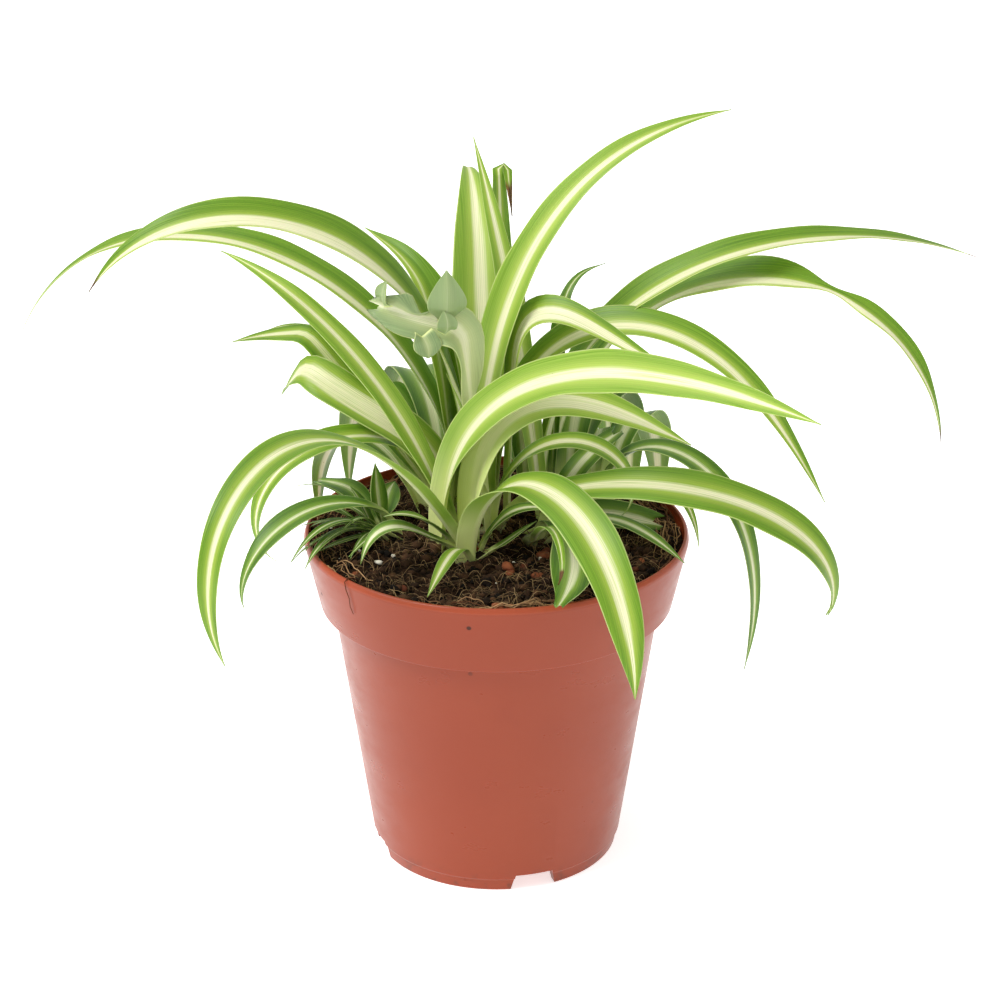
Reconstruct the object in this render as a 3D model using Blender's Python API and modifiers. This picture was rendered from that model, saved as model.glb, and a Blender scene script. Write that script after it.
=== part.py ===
"""A potted spider plant: a small nursery pot filled with soil, with the arching, striped leaves of
several rosettes standing on their crowns.

Metres, +Z up. The origin is on the pot's axis at the floor, and the front of the plant faces -Y.
"""

import math

import bmesh
import bpy
from mathutils import Matrix, Vector

MM = 0.001
GAP = 0.3 * MM                  # clearance between pieces that touch

# Pot: a 12 cm nursery pot
RIM_RADIUS = 60.0 * MM          # outside, at the lower edge of the lip
RIM_Z = 107.0 * MM              # top of the pot
LIP_HEIGHT = 1.5 * MM
LIP_WIDTH = 0.9 * MM            # flat on top of the lip
BAND_Z = 84.3 * MM              # lower edge of the rim band
BAND_RADIUS = 55.2 * MM
NECK_RADIUS = 51.2 * MM         # top of the tapered wall, under the band
BASE_RADIUS = 39.0 * MM
WALL = 1.35 * MM
FLOOR_Z = 4.5 * MM              # underside of the pot's floor
FLOOR_THICKNESS = 2.0 * MM
FOOT_WIDTH = 3.4 * MM
FOOT_STEP = 0.6 * MM            # the wall stands this far out over the foot ring
BAND_SLOPE = 0.6 * MM           # fall of the band's underside towards the wall
LEDGE_RISE = 0.8 * MM           # rise of the ledge inside the rim band
POT_STEPS = 48

NOTCHES = 4
NOTCH_FIRST = -72.5             # degrees round the pot
NOTCH_WIDTH = (15.0 * MM, 12.0 * MM)    # at the floor and at its top
NOTCH_HEIGHT = 5.6 * MM
DRAIN_HOLES = 4
DRAIN_RADIUS = 4.0 * MM
DRAIN_RING = 21.0 * MM
DRAIN_SIDES = 20
CUT_CLEAR = 1.0 * MM            # cutters stand this far out of the plastic

# Soil
SOIL_Z = 103.4 * MM             # mean height of its surface
SOIL_CROWNING = 0.5 * MM
SOIL_LUMP = 0.35 * MM
SOIL_RINGS = 9
SOIL_STEPS = 40
LUMP_PERIODS = (5.3 * MM, 6.1 * MM, 3.7 * MM)   # of the waves that add up to the lumps
HOLE_SIDES = 24

# Crowns: the place in the pot and the radius of each rootstock, in mm
CROWNS = {
    "front": ((-9, -12), 10.5),
    "middle": ((-2, 8), 9.5),
    "rear_left": ((-16, 22), 9.8),
    "rear_right": ((18, 22), 9.0),
    "plantlet": ((-37, 1), 5.5),
    "right": ((14, -2), 8.0),
    "far_right": ((33, 25), 5.8),
}
CROWN_Z = 106.0 * MM            # its flat top, where the leaves stand
CROWN_EDGE = 0.6 * MM
CROWN_UNDERSIDE_Z = 104.7 * MM
STOCK_SHARE = 0.72              # of the crown's radius, for the rootstock in the soil
STOCK_END_Z = 93.0 * MM
STOCK_CHAMFER = (1.5 * MM, 2.0 * MM)    # across and up, at its lower end
CROWN_STEPS = 16

# Leaf blades
BLADE = 0.7 * MM                # thickness
MITRE = 1.5                     # the fold at a leaf's foot makes its keel this much thicker
CELL = 10.5 * MM                # length of a mesh cell along a blade
LEAST_CELLS = 6
FINE_STEPS = 6                  # steps that the midrib is laid out in, for each cell
BASE_SHARE = 0.5                # width at the foot, of the full width
WIDEST_AT = 0.46                # share of the length
TIP_WIDTH = 1.0 * MM
TAPER = 1.9                     # above 1 the blade narrows late, towards its tip
KEEL_FOOT = 48                  # degrees that each half is folded up from flat
KEEL = 16
KEEL_OPENS_AT = 0.35
SINK = 1.0 * MM                 # depth of a fused leaf's root in its crown

# Colours of the blades as seen from some way off, and their roughness
TONES = {
    "green": ((0.24, 0.38, 0.09), 0.45),
    "bright": ((0.36, 0.50, 0.12), 0.45),
    "dark": ((0.13, 0.26, 0.06), 0.42),
    "pale": ((0.50, 0.56, 0.32), 0.5),
}


def leaf(name, crown, seat, heading, arch, length, width,
         swing=0, bend=(0.5, 1.3), roll=(0, 0), kink=None, keel=KEEL,
         foot=BASE_SHARE, widest=WIDEST_AT, taper=TAPER, end=0.0, tone="green"):
    """One leaf's plan, in mm and degrees.

    seat: distance from the crown's centre and direction of the leaf's foot
    heading: where the leaf points, 0 to the right (+X), 90 to the back; swing: how far it veers
    arch: the midrib's elevation at the foot and at the tip
    bend: the share of the length where half of that turn is done, and how suddenly it is done
    roll: twist about the midrib at the foot and at the tip
    kink: a crease: its share of the length, its span, and the turn down and sideways
    keel: how far each half of the blade is folded up from flat, beyond the foot
    foot: width of the foot, and end: width of a blunt or torn end, as shares of the full width
    widest: the share of the length where the blade is widest; taper: how late it narrows from there
    """
    return dict(name=name, crown=crown, seat=seat, heading=heading, swing=swing, arch=arch, bend=bend,
                length=length, width=width, roll=roll, kink=kink, keel=keel, foot=foot, widest=widest,
                taper=taper, end=end, tone=tone)


LEAVES = [
    # to the left
    leaf("leaf_left_high", "rear_left", seat=(6.3, 0), heading=226, swing=-54, arch=(89, -58),
         bend=(0.65, 1.15), length=194, width=13.5, roll=(-24, -46), widest=0.5, taper=2.0),
    leaf("leaf_left_long", "rear_left", seat=(6.5, 70), heading=185, swing=-25, arch=(89, -67),
         bend=(0.56, 1.0), length=206, width=11.5, roll=(-25, -12)),
    leaf("leaf_left_bright", "front", seat=(10.3, 119), heading=163, swing=-14, arch=(76, 11),
         bend=(0.55, 0.9), length=119, width=9.5, roll=(-20, -35), tone="bright"),
    leaf("leaf_left_creased", "rear_left", seat=(3.2, 174), heading=171, swing=-19, arch=(55, 33),
         bend=(0.67, 1.3), length=99, width=10, roll=(-16, -34), kink=(0.68, 0.08, -55, -10)),
    leaf("leaf_left_sliver", "rear_left", seat=(4.6, 102), heading=164, swing=-12, arch=(68, -31),
         bend=(0.73, 1.2), length=89, width=7, roll=(-4, -13)),
    leaf("leaf_left_wavy", "rear_left", seat=(9.6, -99), heading=193, swing=-62, arch=(89, 23),
         bend=(0.24, 2.3), length=86, width=14, roll=(-25, -41), kink=(0.8, 0.12, -70, -5)),
    leaf("leaf_front_left_arch", "front", seat=(3.3, -129), heading=218, swing=24, arch=(58, -119),
         bend=(0.65, 1.4), length=171, width=12.5, roll=(-4, -14)),
    leaf("leaf_left_curled", "rear_left", seat=(1.5, -96), heading=209, swing=-20, arch=(89, -150),
         bend=(0.61, 0.8), length=106, width=9.5, roll=(-16, -31)),
    leaf("leaf_left_low", "plantlet", seat=(5.1, -5), heading=211, swing=-1, arch=(73, -113),
         bend=(0.54, 0.7), length=74, width=7.5, roll=(-7, -16)),
    # short leaves at the front and the left
    leaf("leaf_front_short", "front", seat=(10, -88), heading=248, swing=-3, arch=(49, -27),
         bend=(0.33, 1.9), length=33, width=5, roll=(1, -1)),
    leaf("leaf_front_left_short_1", "front", seat=(5.5, -139), heading=208, arch=(35, -70),
         bend=(0.69, 2.3), length=40, width=6, roll=(-6, -6), tone="dark"),
    leaf("leaf_front_left_short_2", "front", seat=(4.9, 177), heading=212, swing=4, arch=(61, -1),
         bend=(0.56, 0.9), length=30, width=5, roll=(4, -6), tone="dark"),
    # upright in the middle
    leaf("leaf_middle_dark_arch", "rear_left", seat=(3.2, 38), heading=151, swing=-19, arch=(89, 9),
         bend=(0.7, 2.4), length=104, width=10.5, roll=(-4, -27), tone="dark"),
    leaf("leaf_upright_broad", "middle", seat=(6.3, 106), heading=97, swing=-3, arch=(81, -75),
         bend=(0.71, 1.8), length=164, width=14.5, roll=(-8, 14), tone="bright", widest=0.38, taper=1.2,
         foot=0.42),
    leaf("leaf_upright_pointed", "rear_right", seat=(8.6, -116), heading=132, swing=-8, arch=(80, 64),
         bend=(0.57, 1.4), length=120, width=8.5, roll=(-31, -18), tone="bright"),
    leaf("leaf_upright_brown_tip", "rear_right", seat=(6.3, 122), heading=125, swing=-13, arch=(63,
         86), bend=(0.39, 1.8), length=125, width=8, roll=(-1, 0), kink=(0.86, 0.06, -150, -190),
         tone="dark"),
    leaf("leaf_tall_right", "middle", seat=(4, 163), heading=9, swing=10, arch=(89, 5), bend=(0.65, 1.4),
         length=168, width=11.5, roll=(30, 36), tone="bright", foot=0.7),
    leaf("leaf_upright_short", "rear_right", seat=(8.5, -178), heading=109, swing=-29, arch=(76, 65),
         bend=(0.53, 1.4), length=71, width=9, roll=(-1, 2)),
    # to the right, in front of the others
    leaf("leaf_right_broad", "front", seat=(8.6, 143), heading=-24, swing=-26, arch=(89, 0),
         bend=(0.29, 1.6), length=177, width=14.2, roll=(54, 56), tone="bright"),
    leaf("leaf_right_pale", "front", seat=(2.3, 28), heading=-14, swing=-1, arch=(89, -23),
         bend=(0.48, 2.1), length=106, width=13, roll=(45, 57), tone="bright"),
    leaf("leaf_middle_small", "front", seat=(7.2, 69), heading=168, swing=3, arch=(89, 67),
         bend=(0.63, 2.2), length=55, width=4, roll=(3, 1), tone="bright"),
    leaf("leaf_crumpled", "middle", seat=(8.0, -100), heading=187, swing=-2, arch=(84, 84),
         bend=(0.5, 1.0), length=94, width=16, roll=(-1, -83), kink=(0.71, 0.12, -67, -4), tone="pale",
         keel=24, foot=0.14, widest=0.86, taper=3.0, end=0.4),
    # to the right, farther back
    leaf("leaf_right_long", "rear_right", seat=(2.7, -178), heading=-34, swing=79, arch=(89, -24),
         bend=(0.42, 1.4), length=209, width=11, roll=(33, 5), tone="green"),
    leaf("leaf_right_drooping", "rear_right", seat=(8.8, 90), heading=-6, swing=-16, arch=(89, -85),
         bend=(0.58, 1.05), length=195, width=12.5, roll=(16, 23), tone="dark", keel=16, widest=0.52,
         taper=1.6),
    leaf("leaf_right_arch", "middle", seat=(9.7, 76), heading=-11, swing=-10, arch=(89, -60),
         bend=(0.46, 1.7), length=173, width=11, roll=(45, 35)),
    leaf("leaf_right_cream", "middle", seat=(6.8, 24), heading=-26, arch=(89, -23), bend=(0.59,
         5.0), length=121, width=8.5, roll=(45, 50), tone="pale", foot=0.38),
    # low over the rim at the right and the front
    leaf("leaf_right_low", "middle", seat=(6.6, -58), heading=-49, swing=67, arch=(53, -126),
         bend=(0.76, 0.7), length=140, width=13.5, roll=(26, 45), widest=0.6, taper=2.5, end=0.25,
         foot=0.42),
    leaf("leaf_front_hanging", "front", seat=(7.7, -73), heading=-53, swing=-9, arch=(86, -86),
         bend=(0.44, 1.0), length=130, width=15, roll=(9, 26), widest=0.6, taper=2.2),
    leaf("leaf_right_curled", "middle", seat=(2.8, -42), heading=-21, swing=11, arch=(89, -138),
         bend=(0.66, 1.0), length=79, width=9.5, roll=(8, 18)),
    leaf("leaf_far_right_hanging", "far_right", seat=(1.9, -70), heading=-33, swing=-1, arch=(83, -101),
         bend=(0.33, 1.3), length=121, width=9.5, roll=(11, 11), tone="dark", widest=0.35),
    leaf("leaf_far_right_tip", "far_right", seat=(5.3, -86), heading=-34, swing=-2, arch=(56, -80),
         bend=(0.52, 1.5), length=53, width=5, roll=(0, 2)),
    leaf("leaf_right_short", "right", seat=(6.2, -50), heading=-23, swing=-7, arch=(51, -33),
         bend=(0.37, 1.3), length=49, width=6.5, roll=(3, 8)),
    leaf("leaf_right_torn", "right", seat=(6.6, 46), heading=4, swing=-7, arch=(30, -15),
         bend=(0.32, 1.4), length=33, width=9.5, roll=(55, 60), end=0.7),
    leaf("leaf_rear_narrow", "rear_right", seat=(2.5, 99), heading=44, swing=3, arch=(88, -1),
         bend=(0.81, 3.0), length=88, width=4.5, roll=(14, 13), tone="dark"),
    # short leaves at the front and the right
    leaf("leaf_front_right_short", "right", seat=(4, -81), heading=-57, swing=-56, arch=(68, -7),
         bend=(0.13, 2.5), length=64, width=10.5, roll=(8, -2), tone="dark", widest=0.6, end=0.35),
    leaf("leaf_front_right_brown", "right", seat=(7.5, -109), heading=-88, swing=15, arch=(31, -126),
         bend=(0.81, 2.4), length=70, width=4.5, roll=(2, 1)),
    leaf("leaf_front_right_low_1", "front", seat=(5.7, -31), heading=-5, swing=1, arch=(71, -27),
         bend=(0.57, 1.3), length=31, width=6.5, roll=(5, 8), tone="dark"),
    leaf("leaf_front_right_low_2", "front", seat=(9.5, -39), heading=-8, swing=2, arch=(39, 39),
         bend=(0.50, 1.3), length=18, width=5, roll=(4, 0), tone="dark"),
    leaf("leaf_right_torn_upright", "right", seat=(3.1, 64), heading=39, swing=3, arch=(62, 14),
         bend=(0.53, 1.3), length=40, width=9, roll=(2, 14), end=0.7),
    # over the rim at the back
    leaf("leaf_back_1", "rear_left", seat=(9, 99), heading=104, swing=2, arch=(70, -96),
         bend=(0.43, 1.5), length=119, width=12, roll=(3, 0)),
    leaf("leaf_back_2", "rear_left", seat=(8.2, 140), heading=114, arch=(61, -90), bend=(0.45, 1.3),
         length=111, width=11, roll=(0, 0)),
    leaf("leaf_back_3", "rear_right", seat=(5.9, 42), heading=76, swing=1, arch=(70, -96),
         bend=(0.45, 1.5), length=127, width=12.5, roll=(-1, 0)),
    leaf("leaf_back_4", "rear_right", seat=(8.5, 52), heading=71, swing=-2, arch=(63, -96),
         bend=(0.42, 1.3), length=114, width=12, roll=(1, 0)),
    leaf("leaf_back_5", "far_right", seat=(4, 44), heading=71, swing=1, arch=(58, -91), bend=(0.40, 1.3),
         length=100, width=10, roll=(-3, -1)),
    leaf("leaf_back_6", "rear_left", seat=(9.5, 176), heading=132, swing=-1, arch=(52, -95),
         bend=(0.47, 1.3), length=81, width=8.5, roll=(-2, 0)),
    leaf("leaf_back_7", "rear_right", seat=(8.6, 147), heading=107, arch=(48, -98), bend=(0.45, 1.3),
         length=80, width=8, roll=(-2, 0)),
    leaf("leaf_back_8", "far_right", seat=(4.4, 126), heading=84, arch=(52, -98), bend=(0.45, 1.3),
         length=75, width=8, roll=(-1, 0)),
]

PLANTLET = [
    leaf("plantlet_blade_1", "plantlet", seat=(1.5, 7), heading=120, swing=2, arch=(70, 87),
         bend=(0.51, 1.5), length=21, width=6, roll=(20, 4)),
    leaf("plantlet_blade_2", "plantlet", seat=(5.3, 79), heading=67, swing=1, arch=(69, 17),
         bend=(0.49, 1.5), length=15, width=8, roll=(-5, -2)),
    leaf("plantlet_blade_3", "plantlet", seat=(2.2, -136), heading=168, arch=(71, 57), bend=(0.50,
         1.3), length=16, width=6, roll=(5, -2)),
    leaf("plantlet_blade_4", "plantlet", seat=(5.1, -54), heading=210, swing=3, arch=(37, -50),
         bend=(0.58, 1.3), length=37, width=3.2, roll=(0, 0)),
    leaf("plantlet_blade_5", "plantlet", seat=(5, -148), heading=234, swing=10, arch=(40, -41),
         bend=(0.50, 0.7), length=34, width=3.2, roll=(4, 3)),
    leaf("plantlet_blade_6", "plantlet", seat=(5.1, -104), heading=226, swing=-2, arch=(13, -7),
         bend=(0.53, 0.7), length=22, width=3.2, roll=(9, 3)),
    leaf("plantlet_blade_7", "plantlet", seat=(3, 117), heading=140, swing=-1, arch=(64, -8),
         bend=(0.39, 1.9), length=27, width=6.5, roll=(-24, -6), end=0.75),
    leaf("plantlet_blade_8", "plantlet", seat=(5, -80), heading=218, swing=8, arch=(48, -44),
         bend=(0.5, 1.2), length=40, width=3),
    leaf("plantlet_blade_9", "plantlet", seat=(4.5, -170), heading=200, arch=(52, -20),
         bend=(0.5, 1.2), length=30, width=3.5),
]


def smooth(t):
    t = min(max(t, 0.0), 1.0)
    return t * t * (3 - 2 * t)


def remove_scene_objects():
    for obj in list(bpy.data.objects):
        bpy.data.objects.remove(obj, do_unlink=True)


def new_collection(name):
    collection = bpy.data.collections.new(name)
    bpy.context.scene.collection.children.link(collection)
    return collection


def material(name, colour, roughness):
    mat = bpy.data.materials.new(name)
    mat.use_nodes = True
    shader = mat.node_tree.nodes["Principled BSDF"]
    shader.inputs["Base Color"].default_value = (*colour, 1.0)
    shader.inputs["Roughness"].default_value = roughness
    shader.inputs["Metallic"].default_value = 0.0
    mat.diffuse_color = (*colour, 1.0)
    return mat


def add_object(name, mesh, collection, mat=None):
    obj = bpy.data.objects.new(name, mesh)
    collection.objects.link(obj)
    if mat:
        mesh.materials.append(mat)
    return obj


def baked(obj):
    """Replace an object's modifiers by the mesh that they make."""
    depsgraph = bpy.context.evaluated_depsgraph_get()
    mesh = bpy.data.meshes.new_from_object(obj.evaluated_get(depsgraph))
    obj.modifiers.clear()
    obj.data = mesh
    return obj


def profile_mesh(name, points):
    mesh = bpy.data.meshes.new(name)
    edges = [(i, i + 1) for i in range(len(points) - 1)]
    mesh.from_pydata([(r, 0, z) for r, z in points], edges, [])
    return mesh


def turned(name, points, steps, collection, mat=None):
    """Turn a profile of (radius, height) points round the Z axis."""
    obj = add_object(name, profile_mesh(name, points), collection, mat)
    screw = obj.modifiers.new("Turn", "SCREW")
    screw.steps = steps
    screw.render_steps = steps
    screw.use_merge_vertices = True
    screw.merge_threshold = 0.00001
    screw.use_normal_calculate = True
    return obj


def shade_round(obj, degrees=35):
    obj.data.shade_smooth()
    obj.data.set_sharp_from_angle(angle=math.radians(degrees))


def cut(obj, cutter):
    boolean = obj.modifiers.new("Cut " + cutter.name, "BOOLEAN")
    boolean.operation = "DIFFERENCE"
    boolean.object = cutter


def as_cutter(obj):
    obj.hide_render = True
    obj.display_type = "WIRE"
    return obj


def wall_radius(z):
    """Outer radius of the tapered wall under the rim band."""
    return BASE_RADIUS + (NECK_RADIUS - BASE_RADIUS) * z / BAND_Z


def inner_profile():
    """The pot's inside, from the floor's edge up to the lip."""
    floor_top = FLOOR_Z + FLOOR_THICKNESS
    ledge = BAND_Z + WALL
    return [
        (wall_radius(floor_top) - WALL, floor_top),
        (wall_radius(BAND_Z) - WALL, ledge),
        (BAND_RADIUS - WALL, ledge + LEDGE_RISE),
        (RIM_RADIUS - WALL, RIM_Z - LIP_HEIGHT),
    ]


def pot_profile():
    lip_radius = RIM_RADIUS - LIP_HEIGHT * 0.5
    points = [(0, FLOOR_Z + FLOOR_THICKNESS)]
    points += inner_profile()
    points += [
        (lip_radius - LIP_WIDTH, RIM_Z),
        (lip_radius, RIM_Z),
        (RIM_RADIUS, RIM_Z - LIP_HEIGHT),
        (BAND_RADIUS, BAND_Z),
        (NECK_RADIUS, BAND_Z - BAND_SLOPE),
        (wall_radius(FLOOR_Z), FLOOR_Z),
        (wall_radius(FLOOR_Z) - FOOT_STEP, FLOOR_Z - FOOT_STEP),
        (BASE_RADIUS - FOOT_STEP, 0),
        (BASE_RADIUS - FOOT_STEP - FOOT_WIDTH, 0),
        (BASE_RADIUS - FOOT_STEP - FOOT_WIDTH, FLOOR_Z),
        (0, FLOOR_Z),
    ]
    return points


def notch_cutter(index, collection):
    """A wedge that is wider at the floor, laid radially through the foot ring."""
    mesh = bpy.data.meshes.new("notch")
    bm = bmesh.new()
    bmesh.ops.create_cube(bm, size=1)
    inside = BASE_RADIUS - FOOT_STEP - FOOT_WIDTH - CUT_CLEAR
    for vert in bm.verts:
        low = vert.co.z < 0
        width = NOTCH_WIDTH[0] if low else NOTCH_WIDTH[1]
        vert.co.x = inside if vert.co.x < 0 else wall_radius(NOTCH_HEIGHT) + CUT_CLEAR
        vert.co.y *= width
        vert.co.z = -CUT_CLEAR if low else NOTCH_HEIGHT
    bm.to_mesh(mesh)
    bm.free()
    obj = add_object(f"notch_cutter_{index + 1}", mesh, collection)
    obj.rotation_euler.z = math.radians(NOTCH_FIRST + 360 / NOTCHES * index)
    return as_cutter(obj)


def cylinder_mesh(name, radius, bottom, top, sides):
    mesh = bpy.data.meshes.new(name)
    bm = bmesh.new()
    bmesh.ops.create_cone(
        bm, cap_ends=True, segments=sides, radius1=radius, radius2=radius, depth=top - bottom,
        matrix=Matrix.Translation((0, 0, (top + bottom) / 2)))
    bm.to_mesh(mesh)
    bm.free()
    return mesh


def drain_cutter(index, collection):
    top = FLOOR_Z + FLOOR_THICKNESS + CUT_CLEAR
    mesh = cylinder_mesh("drain", DRAIN_RADIUS, FLOOR_Z - CUT_CLEAR, top, DRAIN_SIDES)
    obj = add_object(f"drain_cutter_{index + 1}", mesh, collection)
    angle = math.radians(NOTCH_FIRST + 360 / DRAIN_HOLES * (index + 0.5))
    obj.location = (DRAIN_RING * math.cos(angle), DRAIN_RING * math.sin(angle), 0)
    return as_cutter(obj)


def make_pot(collection, cutters):
    mat = material("terracotta plastic", (0.45, 0.115, 0.058), 0.5)
    pot = turned("pot", pot_profile(), POT_STEPS, collection, mat)
    baked(pot)
    shade_round(pot)
    for i in range(NOTCHES):
        cut(pot, notch_cutter(i, cutters))
    for i in range(DRAIN_HOLES):
        cut(pot, drain_cutter(i, cutters))


def soil_height(x, y):
    """Low lumps on a surface that is slightly crowned."""
    reach = math.hypot(x, y) / RIM_RADIUS
    period_x, period_y, period_diagonal = LUMP_PERIODS
    lumps = math.sin(x / period_x + 1.1) * math.cos(y / period_y) + math.sin((x - y) / period_diagonal)
    return SOIL_Z + SOIL_CROWNING * (1 - reach ** 2) + SOIL_LUMP / 2 * lumps


def make_soil(collection, cutters):
    inner = inner_profile()
    (r0, z0), (r1, z1) = inner[-2:]
    edge = r0 + (r1 - r0) * (SOIL_Z - z0) / (z1 - z0) - GAP
    top = [(edge * i / SOIL_RINGS, SOIL_Z) for i in range(SOIL_RINGS + 1)]
    side = [(r - GAP, z + GAP) for r, z in reversed(inner[:-1])]
    points = top + side + [(0, side[-1][1])]
    mat = material("potting soil", (0.045, 0.024, 0.014), 0.95)
    soil = baked(turned("soil", points, SOIL_STEPS, collection, mat))
    for vert in soil.data.vertices:
        if math.isclose(vert.co.z, SOIL_Z, abs_tol=0.01 * MM):
            vert.co.z = soil_height(vert.co.x, vert.co.y)
    shade_round(soil, 60)
    for name, (place, radius) in CROWNS.items():
        hole = (STOCK_SHARE * radius * MM + GAP) / math.cos(math.pi / HOLE_SIDES)
        mesh = cylinder_mesh("hole", hole, STOCK_END_Z - GAP, RIM_Z, HOLE_SIDES)
        cutter = add_object(f"hole_cutter_{name}", mesh, cutters)
        cutter.location = (place[0] * MM, place[1] * MM, 0)
        cut(soil, as_cutter(cutter))


def make_crown(name, collection):
    """A short stout crown with a flat top, on a rootstock that goes down into the soil."""
    place, radius = CROWNS[name]
    radius *= MM
    stock = STOCK_SHARE * radius
    chamfer, chamfer_height = STOCK_CHAMFER
    points = [
        (0, CROWN_Z),
        (radius - CROWN_EDGE, CROWN_Z),
        (radius, CROWN_Z - CROWN_EDGE),
        (stock, CROWN_UNDERSIDE_Z),
        (stock, STOCK_END_Z + chamfer_height),
        (stock - chamfer, STOCK_END_Z),
        (0, STOCK_END_Z),
    ]
    mat = material("crown " + name, (0.42, 0.45, 0.20), 0.6)
    crown = baked(turned("crown_" + name, points, CROWN_STEPS, collection, mat))
    shade_round(crown)
    crown.location = (place[0] * MM, place[1] * MM, 0)
    return crown


def turn_share(s, at, snap):
    """How much of the blade's turn is done at s: half at the share `at`, more suddenly with snap."""
    s = min(max(s, 1e-6), 1 - 1e-6)
    return 1 / (1 + ((1 - s) / s * at / (1 - at)) ** snap)


def seat_height(leaf):
    """Height of the midrib's foot, so that the blade's underside just clears the crown's top."""
    return CROWN_Z + GAP + BLADE / 2 * MITRE * math.cos(math.radians(leaf["arch"][0]))


def blade_angles(leaf, s):
    """Elevation and heading of the midrib at the share s of its length, in radians."""
    rise, fall = leaf["arch"]
    elevation = rise + (fall - rise) * turn_share(s, *leaf["bend"])
    heading = leaf["heading"] + leaf["swing"] * s
    if leaf["kink"]:
        at, span, drop, side = leaf["kink"]
        share = smooth((s - at) / span + 0.5)
        elevation += drop * share
        heading += side * share
    return math.radians(elevation), math.radians(heading)


def direction(elevation, heading):
    level = math.cos(elevation)
    return Vector((level * math.cos(heading), level * math.sin(heading), math.sin(elevation)))


def blade_frames(leaf, cells):
    """Points along the midrib, each with its direction, the way across and the upper face's normal."""
    place, _ = CROWNS[leaf["crown"]]
    seat, seat_angle = leaf["seat"]
    angle = math.radians(seat_angle)
    x = place[0] + seat * math.cos(angle)
    y = place[1] + seat * math.sin(angle)
    point = Vector((x * MM, y * MM, seat_height(leaf)))
    steps = cells * FINE_STEPS
    frames = []
    for i in range(steps + 1):
        if i % FINE_STEPS == 0:
            s = i / steps
            elevation, heading = blade_angles(leaf, s)
            along = direction(elevation, heading)
            flat = Vector((-math.sin(heading), math.cos(heading), 0))
            up = along.cross(flat)
            roll = math.radians(leaf["roll"][0] + (leaf["roll"][1] - leaf["roll"][0]) * s)
            across = flat * math.cos(roll) + up * math.sin(roll)
            normal = up * math.cos(roll) - flat * math.sin(roll)
            frames.append((s, point.copy(), along, across, normal))
        point += leaf["length"] * MM / steps * direction(*blade_angles(leaf, (i + 0.5) / steps))
    return frames


def blade_width(leaf, s):
    """A narrow foot, the full width farther out, then a long point, or a torn end."""
    widest = leaf["widest"]
    if s < widest:
        share = leaf["foot"] + (1 - leaf["foot"]) * smooth(s / widest)
    else:
        t = (s - widest) / (1 - widest)
        share = 1 - (1 - leaf["end"]) * t ** leaf["taper"]
    return max(leaf["width"] * MM * share, TIP_WIDTH)


def blade_mesh(leaf, sink):
    """A strip two cells wide, folded along the keel and laid along the midrib."""
    cells = max(LEAST_CELLS, round(leaf["length"] * MM / CELL))
    frames = blade_frames(leaf, cells)
    mesh = bpy.data.meshes.new(leaf["name"])
    bm = bmesh.new()
    bmesh.ops.create_grid(bm, x_segments=2, y_segments=cells, size=1)
    bmesh.ops.triangulate(bm, faces=bm.faces)
    for vert in bm.verts:
        side = round(vert.co.x)
        row = round((vert.co.y + 1) / 2 * cells)
        s, point, along, across, normal = frames[row]
        half = blade_width(leaf, s) / 2
        keel = leaf["keel"] + (KEEL_FOOT - leaf["keel"]) * (1 - smooth(s / KEEL_OPENS_AT))
        keel = math.radians(keel)
        out = across * (side * half * math.cos(keel))
        vert.co = point + out + normal * (abs(side) * half * math.sin(keel))
        if row == 0:
            vert.co += along * ((seat_height(leaf) - sink - vert.co.z) / along.z)
    bm.to_mesh(mesh)
    bm.free()
    return mesh


def make_blade(leaf, collection, sink=0.0):
    colour, roughness = TONES[leaf["tone"]]
    mat = material(leaf["name"] + " surface", colour, roughness)
    blade = add_object(leaf["name"], blade_mesh(leaf, sink), collection, mat)
    shell = blade.modifiers.new("Thickness", "SOLIDIFY")
    shell.thickness = BLADE
    shell.offset = 0
    shell.use_even_offset = True
    return blade


def make_plantlet(collection, parts):
    """The small rosette at the left: its narrow leaves grow from its crown as one body."""
    plantlet = make_crown("plantlet", collection)
    plantlet.name = "plantlet_left"
    for leaf in PLANTLET:
        baked(make_blade(leaf, parts, SINK + seat_height(leaf) - CROWN_Z))
    union = plantlet.modifiers.new("Leaves", "BOOLEAN")
    union.operation = "UNION"
    union.operand_type = "COLLECTION"
    union.collection = parts
    baked(plantlet)
    for obj in list(parts.objects):
        bpy.data.objects.remove(obj, do_unlink=True)


def main():
    remove_scene_objects()
    plant = new_collection("PottedSpiderPlant")
    cutters = new_collection("Cutters")
    plantlet_parts = new_collection("PlantletParts")
    make_pot(plant, cutters)
    make_soil(plant, cutters)
    for name in CROWNS:
        if name != "plantlet":
            make_crown(name, plant)
    make_plantlet(plant, plantlet_parts)
    bpy.data.collections.remove(plantlet_parts)
    for leaf in LEAVES:
        make_blade(leaf, plant)


main()
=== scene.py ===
"""Looks for a potted spider plant: finely bent leaves with their cream stripes and veins, a satin
terracotta plastic pot and loose fibrous soil, each in the place of its plain solid.

Metres, in the part's frame: +Z up, the pot's axis at the origin, the front of the plant at -Y.
"""

import math
import random

import bmesh
import bpy
import numpy as np
from mathutils import Matrix, Vector, noise


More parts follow.
